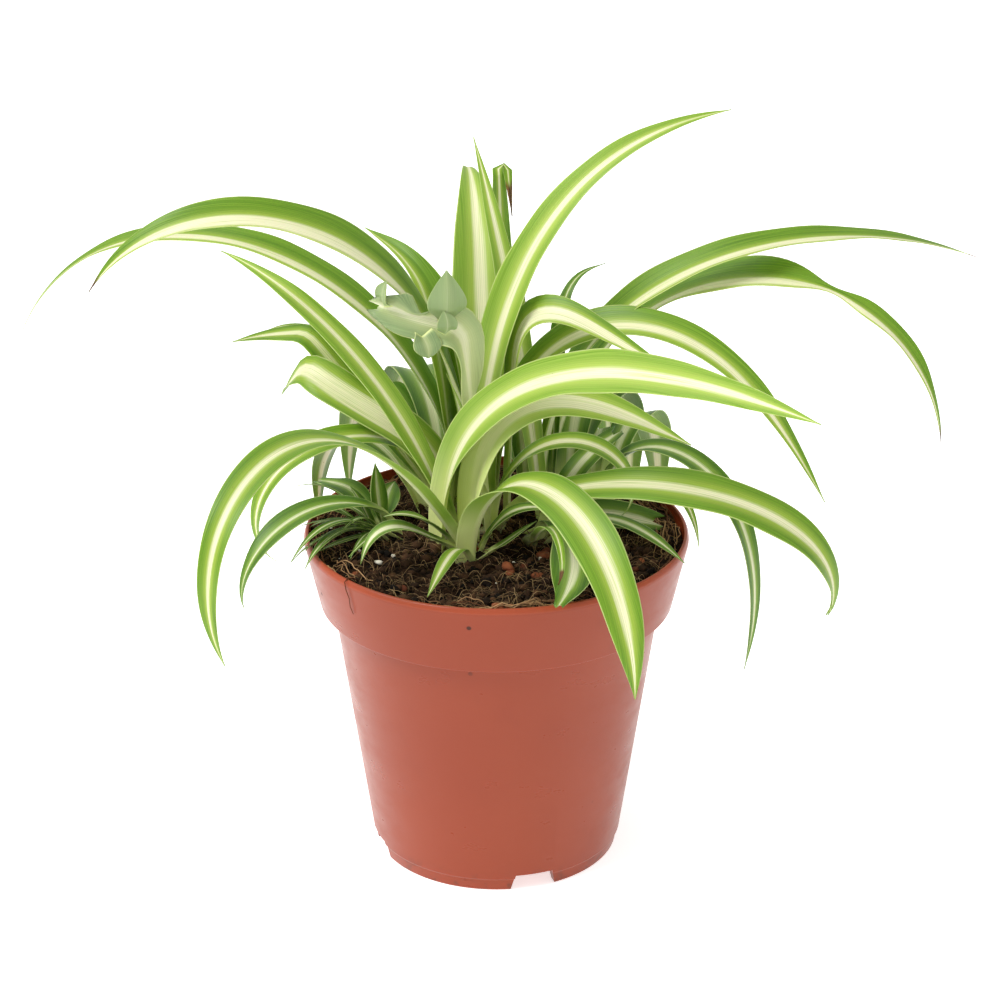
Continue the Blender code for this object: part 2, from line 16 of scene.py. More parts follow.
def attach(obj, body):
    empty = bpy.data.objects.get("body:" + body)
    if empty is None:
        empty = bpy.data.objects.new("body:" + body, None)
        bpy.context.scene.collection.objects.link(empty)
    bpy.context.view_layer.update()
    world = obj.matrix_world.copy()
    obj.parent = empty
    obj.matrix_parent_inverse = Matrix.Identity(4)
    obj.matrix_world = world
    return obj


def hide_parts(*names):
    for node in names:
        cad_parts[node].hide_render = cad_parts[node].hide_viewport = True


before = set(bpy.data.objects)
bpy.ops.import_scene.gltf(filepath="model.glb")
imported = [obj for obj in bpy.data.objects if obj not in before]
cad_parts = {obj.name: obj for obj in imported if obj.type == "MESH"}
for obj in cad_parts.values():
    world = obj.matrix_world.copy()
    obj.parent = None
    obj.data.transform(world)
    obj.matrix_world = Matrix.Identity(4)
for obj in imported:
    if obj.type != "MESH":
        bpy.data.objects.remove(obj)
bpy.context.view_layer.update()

MM = 0.001

# The pot, as in the part
RIM_RADIUS = 60.0 * MM
RIM_Z = 107.0 * MM
LIP_HEIGHT = 1.5 * MM
LIP_WIDTH = 0.9 * MM
BAND_Z = 84.3 * MM
BAND_RADIUS = 55.2 * MM
NECK_RADIUS = 51.2 * MM
BASE_RADIUS = 39.0 * MM
WALL = 1.35 * MM
FLOOR_Z = 4.5 * MM
FLOOR_THICKNESS = 2.0 * MM
FOOT_WIDTH = 3.4 * MM
FOOT_STEP = 0.6 * MM
BAND_SLOPE = 0.6 * MM
LEDGE_RISE = 0.8 * MM
NOTCHES = 4
NOTCH_FIRST = -72.5             # degrees
NOTCH_WIDTH = (15.0 * MM, 12.0 * MM)
NOTCH_HEIGHT = 5.6 * MM
DRAIN_HOLES = 4
DRAIN_RADIUS = 4.0 * MM
DRAIN_RING = 21.0 * MM

# The soil and the crowns, as in the part: each crown's place and radius in mm
SOIL_Z = 103.4 * MM
CROWNS = {
    "front": ((-9, -12), 10.5),
    "middle": ((-2, 8), 9.5),
    "rear_left": ((-16, 22), 9.8),
    "rear_right": ((18, 22), 9.0),
    "plantlet": ((-37, 1), 5.5),
    "right": ((14, -2), 8.0),
    "far_right": ((33, 25), 5.8),
}
CROWN_Z = 106.0 * MM
SEAT_RISE = 0.3 * MM            # a leaf's foot clears its crown by this
HALF_FOOT = 0.525 * MM          # half as thick as the part's blades are where they stand

# What is finer here
STATION = 2.4 * MM              # length of a mesh cell along a blade
FEWEST_STATIONS = 22
ACROSS = (-1, -0.93, -0.8, -0.62, -0.42, -0.2, 0, 0.2, 0.42, 0.62, 0.8, 0.93, 1)
THICKNESS = 0.46 * MM           # at the keel
EDGE_THICKNESS = 0.2 * MM
KEEL_FOOT = 40                  # degrees that each half of a blade rises at its foot
KEEL_OPENS_AT = 0.35            # share of the length
FOOT_EXTRA = 0.2                # a foot is broader than the part's, as a share of the width
FOOT_Z = 101.5 * MM             # the blades' feet go on down into the soil
LONG_PALE_FOOT = 40             # in mm; a shorter pale foot is at most a fifth of its leaf
POT_STEPS = 160
SOIL_RINGS, SOIL_SPOKES = 66, 190
SOIL_GAP = 0.3 * MM             # between the soil and the pot's inside
CROWN_SPOKES = 48
RIB_SPACING = 0.62              # in mm, from vein to vein

# What lies on the soil
CRUMBS, FIBRES, CHIPS, GRAINS = 2200, 1900, 22, 26
FIBRE_POINTS = 7
ROOT_POINTS = 9
SCATTER = 57.0 * MM             # how far from the axis the scraps lie

# The view and the light
CAMERA_PLACE = (0.0011, -0.869, 0.489)
CAMERA_TILT = 66.8              # degrees from straight down
CAMERA_LENS = 109.8             # mm, for a sensor 36 mm wide
KEY_WAY = (0.68, 0.34, -0.9)
KEY_STRENGTH = 1.9
KEY_SPREAD = 28                 # degrees
TOP_PLACE = (-0.5, 0.2, 1.4)
TOP_WAY = (0.5, -0.2, -1.28)
TOP_SIZE = 1.0                  # metres across
TOP_POWER = 3.0                 # watts
SKY = 0.6
FLOOR_GLOW = 0.65
FLOOR_REACH = 4                 # metres from its middle to its edge

# A leaf's form. seat: distance and direction from the middle of its crown. arch: its elevation
# at the foot and at the tip. bend: where on its way it bends, and how sharply. roll: as arch.
# kink, where it has one: its place and span as shares of the length, and the turns down and aside.
FORM = ("crown", "seat", "heading", "swing", "arch", "bend", "roll", "length", "width")
# What a leaf has where it isn't given: the first line as in the part, the others for its looks
USUAL = dict(kink=None, keel=16, foot=0.5, widest=0.46, taper=1.9, end=0.0, tone="green",
             look=None, stripe=0.28, shift=0.0, brown=2.0, pale=16, wave=0.35, curl=0.25,
             pinch=None, swell=None, notch=None, ruffle=0.0, start=None, faces=(1.0, -1.0))
NO_ROLL = (0, 0)
EVEN_BEND = (0.5, 1.3)


def rgb(red, green, blue):
    """Linear colour from the values 0 to 255 that a screen shows."""
    shares = (red / 255, green / 255, blue / 255)
    return tuple(c / 12.92 if c <= 0.04045 else ((c + 0.055) / 1.055) ** 2.4 for c in shares)


def leaf(*form, **other):
    """One leaf. Its form has the part's own values, in mm and degrees; these are for its looks:

    look: the tone that it's drawn in, where that isn't the part's
    stripe and shift: the stripe's half width and its middle, as shares of the blade's half width
    brown: the share of the length where a withered tip starts; pale: length of the pale foot in mm
    wave: height of the margin's waves in mm; curl: how far the margin bends back
    pinch: a place where the blade is twisted narrow: its share of the length, its span, its depth
    swell: a place where the blade is broader, in the same terms
    notch: a pinch of one margin only: side (-1 or 1), share of the length, span, depth
    ruffle: how far the outline swings in and out, as a share of the width
    start: where a loose lobe grows from, in mm, in the place of its seat on a crown
    faces: 1 for a face with the upper side's colours, -1 for one with the underside's
    """
    return {**USUAL, **dict(zip(FORM, form)), **other}


# the leaves at the back take the dark tone, partly painted shade
BACK = dict(look="dark", swell=(0.5, 0.4, 0.4))

# crown, seat, heading, swing, arch, bend, roll, length, width, and what isn't as usual
LEAVES = dict(
    # to the left
    left_high=leaf(
        "rear_left", (6.3, 0), 226, -54, (89, -58), (0.65, 1.15), (-24, -46), 194, 13.5,
        widest=0.5, taper=2.0, stripe=0.4, shift=0.52, brown=0.975),
    left_long=leaf(
        "rear_left", (6.5, 70), 185, -25, (89, -67), (0.56, 1.0), (-25, -12), 206, 11.5,
        stripe=0.32, shift=0.45),
    left_bright=leaf(
        "front", (10.3, 119), 163, -14, (76, 11), (0.55, 0.9), (-20, -35), 119, 9.5,
        tone="bright", stripe=0.2, pale=10),
    left_creased=leaf(
        "rear_left", (3.2, 174), 171, -19, (55, 33), (0.67, 1.3), (-16, -34), 99, 10,
        kink=(0.68, 0.08, -55, -10)),
    left_sliver=leaf(
        "rear_left", (4.6, 102), 164, -12, (68, -31), (0.73, 1.2), (-4, -13), 89, 7),
    left_wavy=leaf(
        "rear_left", (9.6, -99), 193, -62, (89, 23), (0.24, 2.3), (-25, -41), 86, 14,
        kink=(0.8, 0.12, -70, -5), stripe=0.5, wave=2.6, curl=0.1, pale=30, swell=(0.5, 0.3, 0.2),
        ruffle=0.12),
    front_left_arch=leaf(
        "front", (3.3, -129), 218, 24, (58, -119), (0.65, 1.4), (-4, -14), 171, 12.5,
        stripe=0.22, shift=0.05),
    left_curled=leaf(
        "rear_left", (1.5, -96), 209, -20, (89, -150), (0.61, 0.8), (-16, -31), 106, 9.5,
        stripe=0.18, curl=0.1),
    left_low=leaf(
        "plantlet", (5.1, -5), 211, -1, (73, -113), (0.54, 0.7), (-7, -16), 74, 7.5,
        stripe=0.12, swell=(0.6, 0.25, 0.4), look="dark"),
    # short leaves at the front and the left
    front_short=leaf(
        "front", (10, -88), 248, -3, (49, -27), (0.33, 1.9), (1, -1), 33, 5),
    front_left_short_1=leaf(
        "front", (5.5, -139), 208, 0, (35, -70), (0.69, 2.3), (-6, -6), 40, 6,
        tone="dark", stripe=0.35, curl=0.1, swell=(0.5, 0.3, 0.35)),
    front_left_short_2=leaf(
        "front", (4.9, 177), 212, 4, (61, -1), (0.56, 0.9), (4, -6), 30, 5,
        tone="dark", stripe=0.3, curl=0.1, swell=(0.5, 0.3, 0.35)),
    # upright in the middle
    middle_dark_arch=leaf(
        "rear_left", (3.2, 38), 151, -19, (89, 9), (0.7, 2.4), (-4, -27), 104, 10.5,
        tone="dark", stripe=0.07, shift=0.6, swell=(0.5, 0.25, 0.4), look="green"),
    upright_broad=leaf(
        "middle", (6.3, 106), 97, -3, (81, -75), (0.71, 1.8), (-8, 14), 164, 14.5,
        tone="bright", widest=0.38, taper=1.2, foot=0.42, stripe=0.24, shift=-0.05, pale=10,
        curl=0.0, swell=(0.45, 0.2, 0.36), pinch=(0.8, 0.15, 0.55)),
    upright_pointed=leaf(
        "rear_right", (8.6, -116), 132, -8, (80, 64), (0.57, 1.4), (-31, -18), 120, 8.5,
        tone="bright", stripe=0.3),
    upright_brown_tip=leaf(
        "rear_right", (6.3, 122), 125, -13, (63, 86), (0.39, 1.8), (-1, 0), 125, 8,
        kink=(0.86, 0.06, -150, -190), tone="dark", stripe=0.16, brown=0.92, curl=0.2, keel=6,
        look="green"),
    tall_right=leaf(
        "middle", (4, 163), 9, 10, (89, 5), (0.65, 1.4), (30, 36), 168, 11.5,
        tone="bright", foot=0.7, stripe=0.24, shift=-0.14, pale=12, curl=0.1,
        swell=(0.3, 0.22, 0.22)),
    upright_short=leaf(
        "rear_right", (8.5, -178), 109, -29, (76, 65), (0.53, 1.4), (-1, 2), 71, 9, look="dark"),
    # to the right, in front of the others
    right_broad=leaf(
        "front", (8.6, 143), -24, -26, (89, 0), (0.29, 1.6), (54, 56), 177, 14.2,
        tone="bright", stripe=0.27, shift=-0.05, pale=34, swell=(0.16, 0.14, 0.3)),
    right_pale=leaf(
        "front", (2.3, 28), -14, -1, (89, -23), (0.48, 2.1), (45, 57), 106, 13,
        tone="bright", stripe=0.42, shift=-0.1, pale=70, swell=(0.2, 0.18, 0.3), faces=(1.0, 1.0)),
    middle_small=leaf(
        "front", (7.2, 69), 168, 3, (89, 67), (0.63, 2.2), (3, 1), 55, 4,
        tone="bright", stripe=0.1, keel=8, curl=0.0, swell=(0.4, 0.3, 0.4)),
    crumpled=leaf(
        "middle", (8.0, -100), 187, -2, (84, 84), (0.5, 1.0), (-1, -83), 94, 16,
        kink=(0.71, 0.12, -67, -4), tone="pale", keel=24, foot=0.14, widest=0.86, taper=3.0,
        end=0.4, stripe=0.3, wave=3.2, curl=0.5, pale=90, notch=(-1, 0.86, 0.05, 0.9),
        pinch=(0.5, 0.14, 0.4)),
    # to the right, farther back
    right_long=leaf(
        "rear_right", (2.7, -178), -34, 79, (89, -24), (0.42, 1.4), (33, 5), 209, 11,
        stripe=0.34, shift=-0.48, brown=0.965, pale=8, curl=0.05, swell=(0.3, 0.2, 0.25)),
    right_drooping=leaf(
        "rear_right", (8.8, 90), -6, -16, (89, -85), (0.58, 1.05), (16, 23), 195, 12.5,
        tone="dark", widest=0.52, taper=1.6, stripe=0.32, shift=-0.56, ruffle=0.04, brown=0.975,
        wave=0.9, pinch=(0.69, 0.045, 0.65), swell=(0.5, 0.14, 0.22), look="green"),
    right_arch=leaf(
        "middle", (9.7, 76), -11, -10, (89, -60), (0.46, 1.7), (45, 35), 173, 11,
        stripe=0.32, shift=-0.3),
    right_cream=leaf(
        "middle", (6.8, 24), -26, 0, (89, -23), (0.59, 5.0), (45, 50), 121, 8.5,
        tone="pale", foot=0.38, stripe=0.5, shift=-0.25, pale=30, swell=(0.6, 0.25, 0.3),
        look="green"),
    # low over the rim at the right and the front
    right_low=leaf(
        "middle", (6.6, -58), -49, 67, (53, -126), (0.76, 0.7), (26, 45), 140, 13.5,
        widest=0.6, taper=2.5, end=0.25, foot=0.42, stripe=0.25, wave=0.6, pale=20),
    front_hanging=leaf(
        "front", (7.7, -73), -53, -9, (86, -86), (0.44, 1.0), (9, 26), 130, 15,
        widest=0.6, taper=2.2, stripe=0.26, shift=0.05, pale=26, swell=(0.15, 0.14, 0.25)),
    right_curled=leaf(
        "middle", (2.8, -42), -21, 11, (89, -138), (0.66, 1.0), (8, 18), 79, 9.5),
    far_right_hanging=leaf(
        "far_right", (1.9, -70), -33, -1, (83, -101), (0.33, 1.3), (11, 11), 121, 9.5,
        tone="dark", widest=0.35, stripe=0.2),
    far_right_tip=leaf(
        "far_right", (5.3, -86), -34, -2, (56, -80), (0.52, 1.5), (0, 2), 53, 5),
    right_short=leaf(
        "right", (6.2, -50), -23, -7, (51, -33), (0.37, 1.3), (3, 8), 49, 6.5, look="dark"),
    right_torn=leaf(
        "right", (6.6, 46), 4, -7, (30, -15), (0.32, 1.4), (55, 60), 33, 9.5,
        end=0.7, stripe=0.3, wave=0.9, look="dark"),
    rear_narrow=leaf(
        "rear_right", (2.5, 99), 44, 3, (88, -1), (0.81, 3.0), (14, 13), 88, 4.5,
        tone="dark", stripe=0.15, swell=(0.6, 0.25, 0.5)),
    # short leaves at the front and the right
    front_right_short=leaf(
        "right", (4, -81), -57, -56, (68, -7), (0.13, 2.5), (8, -2), 64, 10.5,
        tone="dark", widest=0.6, end=0.35, wave=1.0, curl=0.2, stripe=0.22, swell=(0.65, 0.3, 0.4)),
    front_right_brown=leaf(
        "right", (7.5, -109), -88, 15, (31, -126), (0.81, 2.4), (2, 1), 70, 4.5,
        brown=0.9, stripe=0.2),
    front_right_low_1=leaf(
        "front", (5.7, -31), -5, 1, (71, -27), (0.57, 1.3), (5, 8), 31, 6.5, tone="dark"),
    front_right_low_2=leaf(
        "front", (9.5, -39), -8, 2, (39, 39), (0.5, 1.3), (4, 0), 18, 5, tone="dark"),
    right_torn_upright=leaf(
        "right", (3.1, 64), 39, 3, (62, 14), (0.53, 1.3), (2, 14), 40, 9,
        end=0.7, wave=0.8, look="dark"),
    # over the rim at the back
    back_1=leaf(
        "rear_left", (9, 99), 104, 2, (70, -96), (0.43, 1.5), (3, 0), 119, 12, **BACK),
    back_2=leaf(
        "rear_left", (8.2, 140), 114, 0, (61, -90), (0.45, 1.3), (0, 0), 111, 11, **BACK),
    back_3=leaf(
        "rear_right", (5.9, 42), 76, 1, (70, -96), (0.45, 1.5), (-1, 0), 127, 12.5, **BACK),
    back_4=leaf(
        "rear_right", (8.5, 52), 71, -2, (63, -96), (0.42, 1.3), (1, 0), 114, 12, **BACK),
    back_5=leaf(
        "far_right", (4, 44), 71, 1, (58, -91), (0.4, 1.3), (-3, -1), 100, 10, **BACK),
    back_6=leaf(
        "rear_left", (9.5, 176), 132, -1, (52, -95), (0.47, 1.3), (-2, 0), 81, 8.5, **BACK),
    back_7=leaf(
        "rear_right", (8.6, 147), 107, 0, (48, -98), (0.45, 1.3), (-2, 0), 80, 8, **BACK),
    back_8=leaf(
        "far_right", (4.4, 126), 84, 0, (52, -98), (0.45, 1.3), (-1, 0), 75, 8, **BACK),
)

# seat, heading, swing, arch, bend, roll, length, width, end
PLANTLET = [
    ((1.5, 7), 120, 2, (70, 87), (0.51, 1.5), (20, 4), 21, 6, 0),
    ((5.3, 79), 67, 1, (69, 17), (0.49, 1.5), (-5, -2), 15, 8, 0),
    ((2.2, -136), 168, 0, (71, 57), (0.5, 1.3), (5, -2), 16, 6, 0),
    ((5.1, -54), 210, 3, (37, -50), (0.58, 1.3), (0, 0), 37, 3.2, 0),
    ((5, -148), 234, 10, (40, -41), (0.5, 0.7), (4, 3), 34, 3.2, 0),
    ((5.1, -104), 226, -2, (13, -7), (0.53, 0.7), (9, 3), 22, 3.2, 0),
    ((3, 117), 140, -1, (64, -8), (0.39, 1.9), (-24, -6), 27, 6.5, 0.75),
    ((5, -80), 218, 8, (48, -44), (0.5, 1.2), (0, 0), 40, 3, 0),
    ((4.5, -170), 200, 0, (52, -20), (0.5, 1.2), (0, 0), 30, 3.5, 0),
]


def smooth(t):
    t = np.clip(t, 0.0, 1.0)
    return t * t * (3 - 2 * t)


def add_object(name, data):
    obj = bpy.data.objects.new(name, data)
    bpy.context.scene.collection.objects.link(obj)
    return obj


def new_object(name, mesh, mat):
    mesh.materials.append(mat)
    return add_object(name, mesh)


def mesh_from(name, points, faces):
    mesh = bpy.data.meshes.new(name)
    mesh.from_pydata([tuple(p) for p in points], [], [tuple(f) for f in faces])
    mesh.shade_smooth()
    return mesh


def mesh_of(name, bm):
    """The mesh of a bmesh, which is freed."""
    mesh = bpy.data.meshes.new(name)
    bm.to_mesh(mesh)
    bm.free()
    return mesh


def set_floats(mesh, name, values):
    layer = mesh.attributes.new(name, "FLOAT", "POINT")
    layer.data.foreach_set("value", np.asarray(values, dtype=np.float32))


def polar(r, angle):
    return r * math.cos(angle), r * math.sin(angle)


def circle(count):
    """Angles all the way round."""
    return [2 * math.pi * k / count for k in range(count)]


def skin(rings, sides):
    """Faces between rings of points, with both ends closed."""
    faces = []
    for i in range(rings - 1):
        for k in range(sides):
            a, b = i * sides + k, i * sides + (k + 1) % sides
            faces.append((a, b, b + sides, a + sides))
    faces.append(tuple(reversed(range(sides))))
    faces.append(tuple(range((rings - 1) * sides, rings * sides)))
    return faces


def dress(obj, slot, *nodes):
    """Every piece rides on the only body and stands for its nodes. Its slot is not used."""
    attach(obj, "root")
    if nodes:
        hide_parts(*nodes)


class Look:
    """A material and short ways to add nodes to it."""

    def __init__(self, name):
        self.mat = bpy.data.materials.new(name)
        self.mat.use_nodes = True
        self.tree = self.mat.node_tree
        self.shader = self.tree.nodes["Principled BSDF"]

    def put(self, socket, value):
        if isinstance(value, bpy.types.NodeSocket):
            self.tree.links.new(value, socket)
        elif isinstance(value, tuple):
            size = len(socket.default_value)
            socket.default_value = (*value, 1.0)[:size]
        elif value is not None:
            socket.default_value = value

    def add(self, kind, *values, **settings):
        """A new node with its first inputs, each a value or the output of another node."""
        node = self.tree.nodes.new("ShaderNode" + kind)
        for key, value in settings.items():
            setattr(node, key, value)
        for socket, value in zip(node.inputs, values):
            self.put(socket, value)
        return node

    def attribute(self, name):
        return self.add("Attribute", attribute_name=name).outputs["Fac"]

    def math(self, operation, a, b=None, c=None):
        return self.add("Math", a, b, c, operation=operation).outputs[0]

    def times(self, a, b):
        return self.math("MULTIPLY", a, b)

    def plus(self, a, b):
        return self.math("ADD", a, b)

    def sway(self, share, reach):
        """A value between 0 and 1 as a swing to both sides of 0, reach wide in all."""
        return self.times(self.math("SUBTRACT", share, 0.5), reach)

    def step(self, value, low, high, to_low=0.0, to_high=1.0):
        """A smooth step from to_low at low to to_high at high."""
        return self.add("MapRange", value, low, high, to_low, to_high,
                        interpolation_type="SMOOTHSTEP").outputs[0]

    def mix(self, share, a, b):
        node = self.add("Mix", share, data_type="RGBA")
        self.put(node.inputs[6], a)
        self.put(node.inputs[7], b)
        return node.outputs[2]

    def vector(self, x, y, z):
        return self.add("CombineXYZ", x, y, z).outputs[0]

    def place(self):
        return self.add("TexCoord").outputs["Object"]

    def parts(self, vector):
        return self.add("SeparateXYZ", vector).outputs

    def scaled(self, vector, x, y, z):
        return self.add("VectorMath", vector, (x, y, z), operation="MULTIPLY").outputs[0]

    def noise(self, vector, scale=1.0, detail=2.0, roughness=0.5):
        node = self.add("TexNoise", vector)
        node.inputs["Scale"].default_value = scale
        node.inputs["Detail"].default_value = detail
        node.inputs["Roughness"].default_value = roughness
        return node.outputs["Fac"]

    def bump(self, height, distance, strength=1.0, under=None):
        node = self.add("Bump")
        node.inputs["Strength"].default_value = strength
        node.inputs["Distance"].default_value = distance
        self.put(node.inputs["Height"], height)
        self.put(node.inputs["Normal"], under)
        return node.outputs[0]

    def finish(self, colour, roughness, normal=None, **sockets):
        sockets.update(Base_Color=colour, Roughness=roughness, Normal=normal)
        for name, value in sockets.items():
            self.put(self.shader.inputs[name.replace("_", " ")], value)
        return self.mat


# the bright and dark tones are partly painted light: bright for leaves where light comes through
# them, dark for the lower and back leaves that lie in shade, besides the leaves' own greens
# tone: margin's dark and light green, yellow-green beside the stripe, stripe, underside
TONES = {
    "bright": ((114, 150, 40), (146, 178, 66), (182, 202, 92), (244, 241, 202), (158, 184, 74)),
    "green": ((84, 124, 20), (122, 158, 40), (166, 188, 72), (242, 239, 198), (138, 168, 66)),
    "dark": ((60, 96, 16), (92, 130, 32), (140, 168, 66), (232, 232, 194), (96, 130, 46)),
    "pale": ((122, 144, 98), (156, 176, 122), (192, 202, 144), (240, 240, 206), (146, 166, 112)),
}
FOOT_COLOUR = rgb(230, 238, 160)
BROWN = rgb(120, 76, 38)
BROWN_DARK = rgb(70, 42, 24)


def leaf_look(tone):
    dark, light, beside, cream, under = (rgb(*colour) for colour in TONES[tone])
    look = Look("leaf " + tone)
    read = ("across", "along", "across_mm", "along_mm", "side", "seed")
    across, along, across_mm, along_mm, side, seed = (look.attribute(name) for name in read)

    # long streaks that follow the veins, coarse and fine, and a slow wander along the blade
    coarse = look.noise(look.vector(look.times(across_mm, 1.5), look.times(along_mm, 0.018), seed))
    fine = look.noise(look.vector(look.times(across_mm, 4.2), look.times(along_mm, 0.03), seed),
                      detail=1.0)
    wander = look.noise(look.vector(look.times(along_mm, 0.022), seed, 0.5), detail=1.0)
    ribs = look.math("SINE", look.times(across_mm, 2 * math.pi / RIB_SPACING))
    ribs = look.math("MULTIPLY_ADD", ribs, 0.5, 0.5)

    # distance from the stripe's middle, ragged by the streaks
    middle = look.plus(look.attribute("shift"), look.sway(wander, 0.22))
    away = look.math("ABSOLUTE", look.math("SUBTRACT", across, middle))
    ragged = look.plus(away, look.sway(coarse, 0.2))
    half = look.times(look.attribute("stripe"), look.step(along, 0.8, 1.0, 1.0, 0.55))
    edge = look.math("SUBTRACT", ragged, half)
    stripe = look.step(edge, -0.15, 0.1, 1.0, 0.0)
    border = look.step(look.plus(edge, look.sway(fine, 0.34)), 0.0, 0.5, 0.85, 0.0)

    green = look.mix(look.step(fine, 0.3, 0.72), dark, light)
    green = look.mix(look.step(coarse, 0.35, 0.65, 0.0, 0.45), green, light)
    colour = look.mix(border, green, beside)
    # thin greener lines inside the stripe
    lines = look.step(fine, 0.56, 0.68, 0.0, 0.55)
    colour = look.mix(stripe, colour, look.mix(lines, cream, beside))
    colour = look.mix(look.times(ribs, 0.16), colour, dark)
    # the pale hard line along the margin
    rim = look.step(look.math("ABSOLUTE", across), 0.935, 0.985, 0.0, 0.5)
    colour = look.mix(rim, colour, FOOT_COLOUR)

    # the underside is duller, and its stripe less clear
    dull = look.mix(look.times(stripe, 0.62), under, cream)
    dull = look.mix(look.step(fine, 0.35, 0.7, 0.0, 0.2), dull, dark)
    colour = look.mix(look.step(side, -0.2, 0.2, 0.72, 0.0), colour, dull)

    # pale foot
    foot = look.step(look.math("DIVIDE", along_mm, look.attribute("pale")), 0.15, 1.0, 0.86, 0.0)
    foot = look.times(foot, look.step(fine, 0.1, 0.5, 0.75, 1.0))
    colour = look.mix(foot, colour, FOOT_COLOUR)

    # withered tip, and a few brown flecks
    ragged_tip = look.plus(along, look.sway(coarse, 0.05))
    tip = look.step(look.math("SUBTRACT", ragged_tip, look.attribute("brown")), -0.015, 0.01)
    colour = look.mix(tip, colour, look.mix(look.step(fine, 0.35, 0.65), BROWN_DARK, BROWN))
    spots = look.noise(look.vector(across_mm, look.times(along_mm, 0.7), seed), 1.1, 1.0)
    colour = look.mix(look.step(spots, 0.8, 0.84, 0.0, 0.6), colour, BROWN)

    normal = look.bump(ribs, 0.035 * MM, 0.6)
    normal = look.bump(coarse, 0.12 * MM, 0.35, normal)
    roughness = look.plus(look.step(fine, 0.2, 0.8, 0.36, 0.46), look.times(tip, 0.3))
    mat = look.finish(colour, roughness, normal, Subsurface_Weight=0.1, Subsurface_Scale=0.0015,
                      Subsurface_Radius=(0.6, 1.0, 0.3), Specular_IOR_Level=0.36)
    mat.diffuse_color = (*light, 1.0)
    return mat


def pot_look():
    look = Look("terracotta plastic")
    place = look.place()
    height = look.parts(place)[2]
    plain, light, deep = rgb(144, 58, 29), rgb(156, 68, 37), rgb(124, 48, 24)
    large = look.noise(place, 14.0, 3.0)
    colour = look.mix(look.step(large, 0.3, 0.7), plain, look.mix(0.5, plain, light))
    # faint rubbed marks, mostly level, and patches of grime
    rubs = look.noise(look.scaled(place, 1.0, 1.0, 2.2), 60.0, 4.0, 0.65)
    colour = look.mix(look.step(rubs, 0.62, 0.82, 0.0, 0.2), colour, light)
    grime = look.noise(look.scaled(place, 1.0, 1.0, 0.6), 42.0, 4.0, 0.7)
    colour = look.mix(look.step(grime, 0.58, 0.8, 0.0, 0.3), colour, deep)
    # painted highlight: the lip's top edge is painted lighter, where the light from above catches
    # it
    lip_highlight = look.step(height, RIM_Z - 1.9 * MM, RIM_Z - 1.3 * MM, 0.0, 0.5)
    colour = look.mix(lip_highlight, colour, rgb(176, 84, 56))
    # soil on the foot and a few specks
    dust = look.step(look.noise(place, 190.0, 3.0, 0.7), 0.5, 0.66)
    low = look.step(height, 1.0 * MM, 9.0 * MM, 1.0, 0.0)
    colour = look.mix(look.times(look.times(low, dust), 0.55), colour, rgb(96, 52, 34))
    cells = look.add("TexVoronoi", place)
    cells.inputs["Scale"].default_value = 130.0
    chosen = look.step(look.parts(cells.outputs["Color"])[0], 0.93, 0.94)
    speck = look.times(look.step(cells.outputs["Distance"], 0.07, 0.12, 1.0, 0.0), chosen)
    speck = look.times(speck, look.step(height, 76.0 * MM, 90.0 * MM, 0.25, 1.0))
    colour = look.mix(speck, colour, rgb(72, 38, 26))
    roughness = look.plus(look.step(rubs, 0.3, 0.75, 0.27, 0.4), look.times(speck, 0.4))
    normal = look.bump(look.noise(place, 700.0, 2.0), 0.02 * MM, 0.5)
    normal = look.bump(look.noise(place, 22.0, 1.0), 0.9 * MM, 0.25, normal)
    return look.finish(colour, roughness, normal, Specular_IOR_Level=0.32, Subsurface_Weight=0.05,
                       Subsurface_Scale=0.001)


def soil_look():
    look = Look("peat")
    place = look.place()
    clumps = look.noise(place, 240.0, 5.0, 0.7)
    grain = look.noise(place, 900.0, 3.0, 0.7)
    colour = look.mix(look.step(clumps, 0.35, 0.68), rgb(15, 9, 5), rgb(58, 38, 24))
    colour = look.mix(look.step(grain, 0.55, 0.75, 0.0, 0.7), colour, rgb(112, 84, 56))
    colour = look.mix(look.step(grain, 0.25, 0.42, 0.75, 0.0), colour, rgb(20, 12, 9))
    normal = look.bump(clumps, 2.0 * MM, 0.7)
    normal = look.bump(grain, 0.6 * MM, 0.6, normal)
    return look.finish(colour, 0.95, normal, Specular_IOR_Level=0.1)


def scrap_look(name, dark, light, scale, roughness=0.85):
    """For crumbs, fibres, bark and grains: each has its own shade between dark and light."""
    look = Look(name)
    grain = look.noise(look.place(), scale, 3.0, 0.6)
    shade = look.math("MULTIPLY_ADD", look.math("SUBTRACT", grain, 0.5), 0.7,
                      look.attribute("shade"))
    colour = look.mix(look.step(shade, 0.0, 1.0), dark, light)
    normal = look.bump(grain, 0.2 * MM, 0.7)
    return look.finish(colour, roughness, normal, Specular_IOR_Level=0.18)


def crown_look():
    look = Look("crown")
    place = look.place()
    height = look.parts(place)[2]
    threads = look.noise(look.scaled(place, 1.0, 1.0, 0.12), 900.0, 3.0, 0.6)
    patch = look.noise(place, 160.0, 3.0)
    colour = look.mix(look.step(threads, 0.3, 0.7), rgb(150, 160, 96), rgb(206, 204, 150))
    colour = look.mix(look.step(patch, 0.45, 0.7, 0.0, 0.6), colour, rgb(110, 130, 66))
    # darker towards the bottom, where the crown meets the soil
    darker_low = look.plus(height, look.sway(patch, 4 * MM))
    darker_low = look.step(darker_low, 103.8 * MM, 106.0 * MM, 0.95, 0.1)
    colour = look.mix(darker_low, colour, rgb(58, 38, 28))
    return look.finish(colour, 0.55, look.bump(threads, 0.15 * MM, 0.6))


def turn_share(s, at, snap):
    s = np.clip(s, 1e-6, 1 - 1e-6)
    return 1 / (1 + ((1 - s) / s * at / (1 - at)) ** snap)


def direction(elevation, heading):
    level = np.cos(elevation)
    return np.stack([level * np.cos(heading), level * np.sin(heading), np.sin(elevation)], -1)


